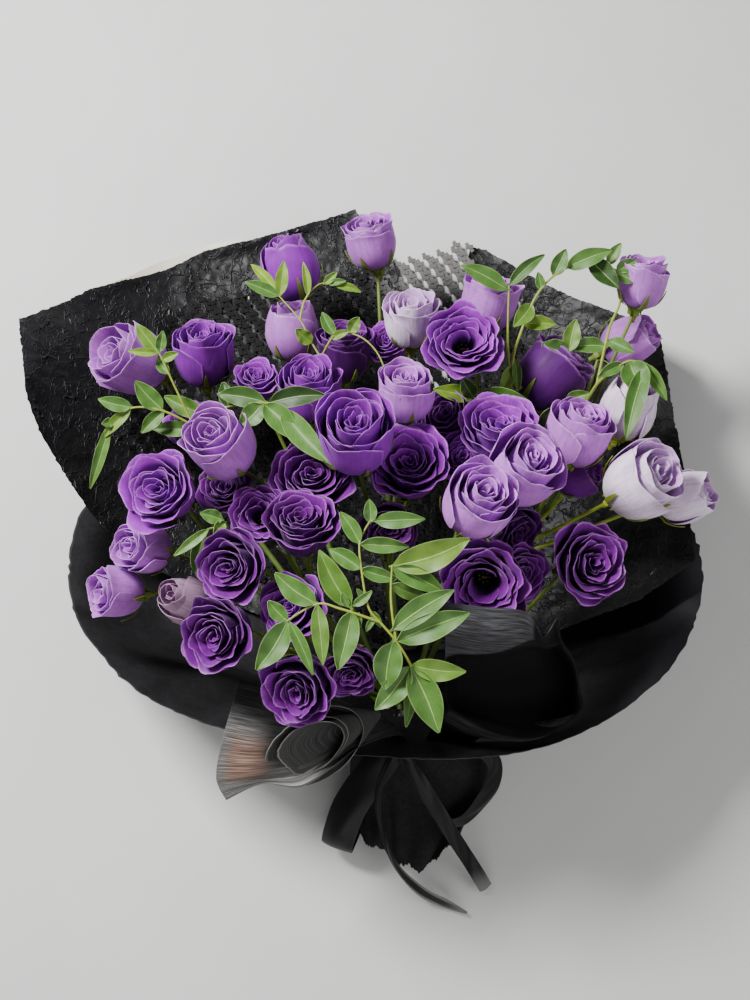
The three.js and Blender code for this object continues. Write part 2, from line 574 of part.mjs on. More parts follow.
// The back of the wrap is a bowl cut to each sheet's outline, so the layers follow one another.
function bowlLayer(level, outline) {
  const lift = PAPER.firstLayer + level * PAPER.layerStep;
  const [columns, rows] = [16, 9];
  const slab = (side) => (i, j) => {
    const [x, y] = [mix(-330, 330, i / columns), mix(TIE.y + 6, 300, j / rows)];
    return vector(x, y, bowlHeight(x, y) + lift + side * PAPER.thickness);
  };
  const points = [1, 0].flatMap((side) => Array.from({ length: (columns + 1) * (rows + 1) }, (_, n) => (
    slab(side)(n % (columns + 1), Math.floor(n / (columns + 1)))
  )));
  const lower = (columns + 1) * (rows + 1);
  const id = (i, j, side) => i + j * (columns + 1) + side * lower;
  const faces = [];
  for (let j = 0; j < rows; j++) {
    for (let i = 0; i < columns; i++) {
      const [a, b, c, d] = [id(i, j, 0), id(i + 1, j, 0), id(i + 1, j + 1, 0), id(i, j + 1, 0)];
      faces.push(a, b, c, a, c, d);
      faces.push(a + lower, c + lower, b + lower, a + lower, d + lower, c + lower);
    }
  }
  const wall = (a, b) => faces.push(a + lower, b + lower, b, a + lower, b, a);
  for (let i = 0; i < columns; i++) {
    wall(id(i, 0, 0), id(i + 1, 0, 0));
    wall(id(i + 1, rows, 0), id(i, rows, 0));
  }
  for (let j = 0; j < rows; j++) {
    wall(id(0, j + 1, 0), id(0, j, 0));
    wall(id(columns, j, 0), id(columns, j + 1, 0));
  }
  const shape = new THREE.Shape(outline.map(([across, down]) => {
    const { x, y } = onBowl(across, down, lift);
    return new THREE.Vector2(x, y);
  }));
  const prism = new THREE.ExtrudeGeometry(shape, { depth: 500, bevelEnabled: false });
  prism.translate(0, 0, -20);
  const cut = solidFrom(indexed(points, faces)).intersect(solidFrom(prism));
  return cut.decompose().reduce((best, piece) => (piece.volume() > best.volume() ? piece : best));
}

// Outlines of the sheets, in picture order round each one, as [across, down].
const OUTLINES = {
  backing: [[96, 300], [112, 283], [160, 262], [214, 243], [246, 239], [262, 300], [150, 340]],
  back_right: [
    [470, 246], [486, 250], [520, 272], [585, 303], [655, 325], [668, 380], [682, 470], [696, 560],
    [640, 600], [560, 630], [480, 650], [425, 650], [430, 500], [455, 350],
  ],
  back_left: [
    [19, 319], [90, 290], [200, 254], [290, 232], [355, 210], [372, 236], [392, 262], [430, 400],
    [440, 600], [415, 650], [350, 648], [270, 620], [200, 590], [128, 556], [90, 512], [62, 470],
    [38, 428], [27, 395],
  ],
  mesh_lining: [
    [165, 322], [200, 300], [300, 286], [384, 268], [432, 256], [467, 238], [476, 262], [515, 330],
    [545, 400], [555, 480], [520, 580], [440, 640], [385, 642], [310, 612], [225, 560], [140, 480],
    [124, 430],
  ],
};

// The outer wrap: a funnel from the tie to a rim that runs right round, lying under the other
// sheets at the back and sides and standing over the stems at the front. Rim as
// [across, down, height]; a rim point with no height lies against the outside of the bowl.
const RIM = [
  [70, 548], [72, 604], [102, 657, 132], [152, 700, 144], [232, 732, 150], [318, 750, 154],
  [400, 758, 156], [480, 758, 154], [560, 741, 146], [632, 704, 130], [684, 646, 112], [702, 592],
  [700, 545], [672, 500], [610, 470], [500, 450], [375, 445], [260, 450], [160, 470], [92, 500],
];
const OUTSIDE = { narrower: 26, fartherOut: 22 };

// Height of the outer wrap where it lies against the outside of the bowl.
function outsideHeight(x, y) {
  const inner = Math.sign(x) * Math.max(0, Math.abs(x) - OUTSIDE.narrower);
  return bowlHeight(inner, y + OUTSIDE.fartherOut) + PAPER.thickness / 2;
}

function funnelPoint(column, share) {
  const [across, down, height] = RIM[column];
  const turn = Math.PI * (1 - (2 * (column + 0.5)) / RIM.length);
  const ringAt = (y) => vector(
    TIE.x + TIE.neckRadius * Math.cos(turn), y, TIE.z + TIE.neckRadius * Math.sin(turn),
  );
  if (share <= 0) {
    return ringAt(TIE.y - TIE.neckLength / 2);
  }
  const from = ringAt(TIE.y + TIE.neckLength / 2);
  const rim = height ? seenAt(across, down, height) : onBowl(across, down, 0);
  const point = from.clone().lerp(rim, share - 1);
  const run = share - 1;
  const against = outsideHeight(point.x, point.y);
  if (!height) {
    point.z = against + (from.z - against) * Math.pow(1 - run, 6);
    return point;
  }
  point.z = Math.max(point.z - 12 * Math.sin(Math.PI * run), against * 0.5);
  return point;
}

function outerWrap(thickness = PAPER.thickness) {
  const shares = [0, 1, 1.1, 1.22, 1.36, 1.52, 1.68, 1.84, 2];
  const middle = (i, j) => funnelPoint(i, shares[j]);
  return sheetSolid(RIM.length, shares.length - 1, middle, { closed: true, thickness });
}

// The skirt of paper past the tie, spread on the table. End edge as [across, down, height].
const SKIRT_END = [
  [350, 806, 16], [364, 838, 26], [384, 850, 30], [405, 868, 24], [424, 868, 24], [446, 848, 28],
  [474, 820, 26], [486, 802, 14], [472, 816, 3], [440, 838, 1], [402, 848, 1], [370, 838, 1],
];

function skirtPoint(column, share) {
  const count = SKIRT_END.length;
  const turn = Math.PI - (2 * Math.PI * (column + 0.5)) / count;
  const from = vector(
    TIE.x + TIE.neckRadius * Math.cos(turn), TIE.y - TIE.neckLength / 2 - CLEARANCE,
    TIE.z + TIE.neckRadius * Math.sin(turn),
  );
  const to = seenAt(...SKIRT_END[column]);
  const point = from.clone().lerp(to, share);
  point.z = mix(from.z, to.z, smooth(Math.min(1, share * 1.3)));
  point.z = Math.max(point.z, PAPER.thickness / 2 + 0.1);
  return point;
}

function skirt() {
  const shares = [0, 0.3, 0.62, 1];
  const middle = (i, j) => skirtPoint(i, shares[j]);
  return sheetSolid(SKIRT_END.length, shares.length - 1, middle, { closed: true });
}

// The fibrous inner paper turned out over the rim at the front left: a flap, and a roll whose
// mouth is open to the viewer.
const FLAP_ROWS = [
  [
    [240, 680, 188], [264, 686, 184], [300, 700, 176], [340, 710, 168], [374, 716, 148],
    [386, 720, 112], [390, 752, 84],
  ],
  [
    [225, 730, 196], [258, 736, 186], [300, 738, 176], [340, 728, 170], [378, 724, 150],
    [392, 725, 112], [398, 756, 84],
  ],
  [
    [216, 776, 186], [254, 774, 178], [300, 766, 172], [340, 746, 168], [374, 734, 158],
    [398, 729, 116], [404, 758, 88],
  ],
  [
    [226, 800, 174], [262, 784, 170], [300, 787, 168], [332, 768, 168], [362, 746, 166],
    [402, 736, 124], [410, 762, 94],
  ],
];
const ROLL = {
  apex: [380, 716, 172], mouth: [313, 752, 184], across: [32, -14, 4], upright: [9, 20, -15],
  start: 0.16, around: 12,
};

function rollSolid(thickness) {
  const middle = (k, share) => {
    const angle = (2 * Math.PI * k) / ROLL.around;
    const [across, down, height] = [0, 1, 2].map((n) => (
      ROLL.mouth[n] + Math.cos(angle) * ROLL.across[n] + Math.sin(angle) * ROLL.upright[n]
    ));
    return seenAt(...ROLL.apex).lerp(seenAt(across, down, height), share);
  };
  const shares = [ROLL.start, 0.55, 1];
  return sheetSolid(ROLL.around, 2, (i, j) => middle(i, shares[j]), { closed: true, thickness });
}

// The sheet folded over itself at the front right, whose turned edge shows under the open head.
const FOLD_ROWS = [
  [[443, 602, 236], [484, 607, 240], [526, 613, 236], [541, 624, 226], [553, 618, 218]],
  [[445, 628, 230], [490, 636, 230], [528, 641, 226], [546, 640, 216], [562, 640, 206]],
  [[446, 660, 206], [490, 672, 202], [536, 678, 196], [560, 672, 190], [574, 664, 186]],
  [[446, 694, 182], [490, 712, 174], [530, 718, 168], [562, 710, 168], [579, 696, 170]],
  [[448, 712, 164], [490, 736, 160], [528, 744, 160], [556, 735, 160], [574, 722, 162]],
  [[432, 728, 120], [446, 734, 118], [462, 737, 118], [478, 736, 120], [490, 732, 124]],
  [[420, 756, 90], [430, 758, 90], [440, 760, 90], [450, 760, 90], [458, 758, 92]],
];

// A sheet lofted through rows of points, each row from left to right as [across, down, height].
// The space kept free round it is thicker, and reaches a little past its edges.
function loftSolid(rows, thickness, past = 0) {
  const [columns, last] = [rows[0].length - 1, rows.length - 1];
  const beyond = (k, end) => (k === 0 ? -past : k === end ? past : 0);
  return sheetSolid(columns, last, (i, j) => {
    const at = (c, r) => seenAt(...rows[r][c]);
    const point = at(i, j);
    if (beyond(i, columns)) {
      point.add(at(i, j).sub(at(i === 0 ? 1 : columns - 1, j)).setLength(past));
    }
    if (beyond(j, last)) {
      point.add(at(i, j).sub(at(i, j === 0 ? 1 : last - 1)).setLength(past));
    }
    return point;
  }, { thickness });
}

// A ribbon along a curve, with its width level.
function ribbonSolid(places, width, steps) {
  const path = new THREE.CatmullRomCurve3(places.map((place) => seenAt(...place)), false, "centripetal");
  return sheetSolid(steps, 1, (i, j) => {
    const point = path.getPointAt(i / steps);
    const tangent = path.getTangentAt(i / steps);
    const across = vector(0, 0, 1).cross(tangent).normalize();
    return point.addScaledVector(across, (j - 0.5) * width);
  }, { thickness: 0.9 });
}

function band() {
  const inner = TIE.neckRadius + PAPER.thickness / 2 + CLEARANCE + 0.7;
  const outer = inner + TIE.bandThickness;
  const half = TIE.bandWidth / 2;
  const profile = [[inner, -half], [outer, -half], [outer, half], [inner, half], [inner, -half]];
  const ring = new THREE.LatheGeometry(profile.map(([r, h]) => new THREE.Vector2(r, h)), 28);
  ring.translate(TIE.x, TIE.y, TIE.z);
  return solidFrom(ring);
}

const BOW = [
  {
    name: "loop_left", width: 36, steps: 6,
    places: [
      [396, 725, 61.5], [394, 746, 65], [368, 774, 56], [350, 804, 46], [345, 832, 36], [344, 848, 26],
    ],
  },
  {
    name: "loop_right", width: 16, steps: 9,
    places: [
      [403, 725, 61.5], [408, 746, 65], [440, 764, 64], [480, 768, 58], [494, 784, 50], [484, 806, 42],
      [462, 812, 38],
    ],
  },
  {
    name: "tail_right", width: 15, steps: 6,
    places: [
      [401, 725, 61.5], [403, 752, 70], [424, 788, 58], [452, 834, 42], [470, 862, 22], [486, 888, 6],
    ],
  },
  {
    name: "tail_left", width: 9, steps: 9,
    places: [
      [398, 725, 61.5], [394, 752, 70], [378, 796, 60], [382, 840, 46], [396, 868, 30], [424, 892, 14],
      [464, 912, 6],
    ],
  },
];

// The bouquet's colours.
const TONES = {
  deep: 0x46208a, violet: 0x6b3bb0, lavender: 0x9d78cf, pale: 0xc9b8e4, faded: 0x9a7fae,
};
const petalMaterial = (tone) => new THREE.MeshStandardMaterial({
  color: TONES[tone], roughness: 0.62, metalness: 0, flatShading: true,
});
const stemMaterial = new THREE.MeshStandardMaterial({ color: 0x5f8a35, roughness: 0.6, metalness: 0 });
const leafMaterial = new THREE.MeshStandardMaterial({ color: 0x7fae52, roughness: 0.55, metalness: 0 });
const paperMaterial = new THREE.MeshStandardMaterial({
  color: 0x15151a, roughness: 0.7, metalness: 0, side: THREE.DoubleSide,
});
const ribbonMaterial = new THREE.MeshStandardMaterial({ color: 0x101014, roughness: 0.35, metalness: 0 });
const backingMaterial = new THREE.MeshStandardMaterial({ color: 0xe9e6da, roughness: 0.8, metalness: 0 });

const bouquet = new THREE.Group();
function place(name, solid, material) {
  const mesh = new THREE.Mesh(geometryFrom(solid), material);
  mesh.name = name;
  bouquet.add(mesh);
}

const wrapKeepOut = keepOut(outerWrap(PAPER.thickness + 2 * CLEARANCE));
const papers = [];
function placePaper(name, make) {
  place(name, clearOf(make(0), [wrapKeepOut]), paperMaterial);
  papers.push(keepOut(make(CLEARANCE)));
}

place("outer_wrap", outerWrap(), paperMaterial);
placePaper("frill", (grow) => union([loftSolid(FLAP_ROWS, 1 + 2 * grow, grow), rollSolid(1 + 2 * grow)]));
placePaper("folded_sheet", (grow) => loftSolid(FOLD_ROWS, 1.1 + 2 * grow, grow));
place("backing", bowlLayer(0, OUTLINES.backing), backingMaterial);
place("back_sheet_right", bowlLayer(0, OUTLINES.back_right), paperMaterial);
place("back_sheet_left", bowlLayer(1, OUTLINES.back_left), paperMaterial);
place("mesh_lining", bowlLayer(2, OUTLINES.mesh_lining), paperMaterial);
place("wrap_skirt", skirt(), paperMaterial);

// Heads from the nearest to the viewer to the farthest, with those pressed together as one.
const clusters = [];
for (const head of [...HEADS].sort((a, b) => b.height - a.height)) {
  const known = head.group && clusters.find(({ name }) => name === head.group);
  if (known) {
    known.heads.push(head);
  } else {
    clusters.push({ name: head.group ?? head.name, heads: [head] });
  }
}
const shellsOf = clusters.map(({ heads }) => heads.map((head) => keepOut(hullSolid(head))));
clusters.forEach(({ name, heads }, rank) => {
  const solid = union(heads.map((head) => headSolid(head)));
  const trimmed = clearOf(solid, [...papers, ...shellsOf.slice(0, rank).flat()]);
  place(`head_${name}`, trimmed, petalMaterial(heads[0].tone));
});

const shells = shellsOf.flat();
const thinned = (solid) => solid.asOriginal().simplify(SMOOTHING);
place("stems", thinned(clearOf(stemsSolid(), [...shells, ...papers])), stemMaterial);

const stemKeepOut = keepOut(stemsSolid(CLEARANCE));
for (const [name, spray] of Object.entries(SPRAYS)) {
  place(name, thinned(clearOf(spraySolid(spray), [...shells, ...papers, stemKeepOut])), leafMaterial);
}

const bow = BOW.map(({ width, steps, places }) => ribbonSolid(places, width, steps));
place("ribbon_tie", union([band(), ...bow]), ribbonMaterial);

export default bouquet;
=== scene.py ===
"""A hand-tied bouquet of double lisianthus, lying on its back in black wrapping paper.

Lengths are metres in the part's frame, with +Z up and +Y from the tie towards the heads. Places
that were read from the picture stay as [across, down] pixels with a height in millimetres.
"""

import logging
import math
from collections.abc import Callable
from dataclasses import dataclass, field
from enum import Enum
from functools import cache, partial, reduce

import bpy
import numpy as np
from mathutils import Matrix, Vector
from mathutils.geometry import delaunay_2d_cdt


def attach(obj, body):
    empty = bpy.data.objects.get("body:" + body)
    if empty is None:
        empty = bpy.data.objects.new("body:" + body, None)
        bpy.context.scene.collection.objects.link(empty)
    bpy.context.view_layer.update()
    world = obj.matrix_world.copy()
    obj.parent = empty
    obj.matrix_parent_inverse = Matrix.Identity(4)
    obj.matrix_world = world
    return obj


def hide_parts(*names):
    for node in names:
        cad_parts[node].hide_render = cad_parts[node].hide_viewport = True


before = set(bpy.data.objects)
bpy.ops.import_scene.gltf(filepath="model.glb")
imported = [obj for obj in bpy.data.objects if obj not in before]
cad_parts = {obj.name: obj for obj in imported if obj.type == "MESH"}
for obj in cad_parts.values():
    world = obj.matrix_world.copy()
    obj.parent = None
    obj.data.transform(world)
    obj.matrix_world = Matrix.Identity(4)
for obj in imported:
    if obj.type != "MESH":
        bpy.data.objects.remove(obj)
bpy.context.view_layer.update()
LOG = logging.getLogger("bouquet")
MM = 0.001
SEED = 20
TURN = 2 * math.pi
RIGHT = np.array([1.0, 0.0, 0.0])
ABOVE = np.array([0.0, 0.0, 1.0])

Array = np.ndarray
Colour = tuple[float, float, float, float]
Draw = np.random.Generator
Material = bpy.types.Material
Mesh = bpy.types.Mesh
Node = bpy.types.Node
Pair = tuple[float, float]
Piece = bpy.types.Object
Socket = bpy.types.NodeSocket
Tree = bpy.types.NodeTree


class Tone(Enum):
    """The petal colours, each with its material slot."""

    DEEP = "petals_deep"
    VIOLET = "petals_violet"
    LAVENDER = "petals_lavender"
    PALE = "petals_pale"
    FADED = "petals_faded"


class Form(Enum):
    """How far a flower head has opened."""

    BUD = "bud"
    CUP = "cup"
    FULL = "full"
    OPEN = "open"


@dataclass(frozen=True)
class Sight:
    """The sight line of the reference picture."""

    elevation: float = math.radians(78.0)
    distance: float = 1.5
    target: tuple[float, float, float] = (0.0, 0.0, 0.150)
    centre: Pair = (375.0, 500.0)
    metres_per_pixel: float = 0.0008

    @property
    def to_viewer(self) -> Array:
        """The way from the bouquet to the viewer."""
        return np.array([0.0, -math.cos(self.elevation), math.sin(self.elevation)])

    @property
    def up(self) -> Array:
        """The way that is up in the picture."""
        return np.array([0.0, math.sin(self.elevation), math.cos(self.elevation)])

    @property
    def viewer(self) -> Array:
        """Where the viewer stands."""
        return np.array(self.target) + self.to_viewer * self.distance

    def seen_at(self, places: Array) -> Array:
        """Finds the points that show at pixels of the picture.

        Args:
            places: Rows of across and down in pixels, and the height in millimetres.

        Returns:
            The points, in metres.
        """
        places = np.asarray(places, float)
        across = (places[..., :1] - self.centre[0]) * self.metres_per_pixel
        rise = (self.centre[1] - places[..., 1:2]) * self.metres_per_pixel
        on_target = np.array(self.target) + across * RIGHT + rise * self.up
        ray = on_target - self.viewer
        reach = (places[..., 2:3] * MM - self.viewer[2]) / ray[..., 2:3]
        return self.viewer + ray * reach


SIGHT = Sight()


def smooth(x: Array) -> Array:
    """Eases from 0 to 1."""
    x = np.clip(x, 0.0, 1.0)
    return x * x * (3.0 - 2.0 * x)


def mix(a: Array, b: Array, share: Array) -> Array:
    """The value that lies at a share of the way from a to b."""
    return a + (b - a) * share


def unit(vectors: Array) -> Array:
    """The vectors at length 1."""
    return vectors / np.maximum(np.linalg.norm(vectors, axis=-1, keepdims=True), 1e-12)


def points_of(x: Array, y: Array, z: Array) -> Array:
    """Points from coordinates that are given as grids, rows, columns or single numbers."""
    return np.stack(np.broadcast_arrays(x, y, z), -1)


def hill(x: Array, middle: float, width: float) -> Array:
    """A soft hill of height 1 round a middle."""
    return np.exp(-((x - middle) / width) ** 2)


def srgb(red: int, green: int, blue: int) -> Colour:
    """A screen colour, from 0 to 255, as a shader colour.

    Args:
        red: Its red.
        green: Its green.
        blue: Its blue.

    Returns:
        Its red, green, blue and alpha, from 0 to 1.
    """
    values = [c / 255 for c in (red, green, blue)]
    linear = [c / 12.92 if c <= 0.04045 else ((c + 0.055) / 1.055) ** 2.4 for c in values]
    return (*linear, 1.0)


def spline(points: Array, count: int, closed: bool = False) -> Array:
    """A smooth curve through points.

    Args:
        points: The points that it passes through.
        count: How many points the curve gets.
        closed: Whether it comes back to its start.

    Returns:
        The curve's points. A closed curve's last point isn't a copy of its first.
    """
    points = np.asarray(points, float)
    number = len(points)
    spans = number if closed else number - 1
    where = np.linspace(0, spans, count, endpoint=not closed)
    start = np.minimum(where.astype(int), spans - 1)
    t = (where - start).reshape(-1, *([1] * (points.ndim - 1)))

    def at(index: Array) -> Array:
        """The points with these numbers."""
        return points[index % number] if closed else points[np.clip(index, 0, number - 1)]

    before, a, b, after = at(start - 1), at(start), at(start + 1), at(start + 2)
    return 0.5 * (2 * a + (b - before) * t + (2 * before - 5 * a + 4 * b - after) * t**2
                  + (3 * a - before - 3 * b + after) * t**3)


# The tables repeat the part's own places. Heads: name, pixel, height, width, tilt away from the
# viewer, heading of the tilt from picture-right towards picture-up, form, tone and group.
HEADS_TABLE = [
    ("top", (371, 243), 100, 49, 62, 105, "cup", "lavender", ""),
    ("top_left", (291, 269), 84, 57, 72, 108, "bud", "violet", ""),
    ("upper_left", (292, 331), 92, 51, 60, 95, "bud", "lavender", ""),
    ("far_left", (132, 362), 122, 63, 52, 155, "cup", "lavender", ""),
    ("left_cup", (204, 356), 108, 57, 55, 92, "cup", "violet", ""),
    ("pale_upper", (411, 321), 150, 49, 50, 92, "cup", "pale", ""),
    ("upper_open", (463, 346), 178, 65, 16, 90, "open", "violet", ""),
    ("upper_bell", (487, 304), 118, 51, 68, 78, "cup", "lavender", ""),
    ("behind_left", (344, 354), 112, 50, 56, 90, "cup", "deep", "behind_pair"),
    ("behind_pale", (389, 345), 108, 41, 32, 120, "full", "violet", "behind_pair"),
    ("centre_cup", (405, 394), 214, 47, 52, 90, "cup", "lavender", ""),
    ("dark_bell", (549, 377), 134, 62, 76, 52, "cup", "deep", ""),
    ("right_bud", (629, 341), 98, 50, 66, 25, "bud", "lavender", ""),
    ("far_right_top", (641, 283), 150, 46, 66, 80, "cup", "lavender", ""),
    ("right_pale", (626, 410), 142, 53, 56, 70, "bud", "pale", ""),
    ("right_cup", (578, 435), 176, 55, 56, 72, "cup", "lavender", ""),
    ("right_white", (640, 483), 178, 63, 48, 35, "cup", "pale", ""),
    ("far_right", (684, 497), 132, 50, 60, 12, "bud", "pale", ""),
    ("centre_left", (355, 437), 246, 63, 34, 92, "cup", "violet", ""),
    ("left_lilac", (221, 446), 218, 57, 40, 125, "cup", "lavender", ""),
    ("behind_leaves", (310, 392), 158, 55, 50, 90, "cup", "violet", ""),
    ("small_back", (258, 383), 122, 41, 40, 100, "full", "violet", ""),
    ("centre", (410, 470), 204, 67, 28, 100, "full", "violet", ""),
    ("centre_right", (499, 437), 184, 70, 42, 88, "full", "violet", "centre_right_three"),
    ("behind_centre", (453, 425), 160, 48, 42, 130, "cup", "deep", "centre_right_three"),
    ("between_lilacs", (461, 461), 176, 48, 22, 80, "full", "violet", "centre_right_three"),
    ("lilac_right", (523, 469), 240, 60, 36, 55, "cup", "lavender", ""),
    ("lilac_centre", (477, 504), 258, 59, 34, 62, "cup", "lavender", ""),
    ("left_violet", (166, 494), 208, 66, 28, 150, "full", "violet", ""),
    ("left_small", (145, 548), 166, 46, 42, 170, "cup", "lavender", ""),
    ("left_low_bud", (118, 593), 150, 45, 52, 176, "cup", "lavender", ""),
    ("faded", (186, 600), 160, 43, 46, 150, "bud", "faded", ""),
    ("behind_lilac", (227, 491), 164, 48, 26, 120, "full", "deep", ""),
    ("middle_deep", (312, 480), 196, 65, 20, 85, "full", "deep", "middle_pair"),
    ("ring_open", (262, 517), 198, 52, 16, 120, "open", "deep", "middle_pair"),
    ("flat_spiral", (301, 529), 226, 59, 42, 92, "full", "deep", ""),
    ("left_ruffled", (236, 565), 232, 59, 26, 195, "full", "deep", ""),
    ("low_left", (222, 632), 226, 61, 26, 205, "full", "deep", ""),
    ("under_spray", (296, 609), 216, 55, 24, 160, "full", "violet", ""),
    ("low_front", (302, 684), 220, 62, 26, 235, "full", "deep", "low_pair"),
    ("low_small", (353, 667), 208, 46, 28, 250, "full", "deep", "low_pair"),
    ("front_open", (484, 580), 226, 72, 12, 250, "open", "deep", "front_open_pair"),
    ("front_behind", (519, 571), 206, 44, 20, 350, "full", "deep", "front_open_pair"),
    ("front_right", (585, 563), 204, 68, 20, 10, "full", "deep", ""),
    ("in_shadow", (508, 524), 196, 44, 42, 320, "cup", "deep", ""),
    ("dark_middle", (389, 523), 168, 48, 30, 270, "full", "deep", ""),
    ("small_right", (578, 476), 126, 37, 58, 15, "bud", "violet", ""),
    ("left_hidden", (193, 428), 130, 46, 36, 110, "full", "violet", ""),
]

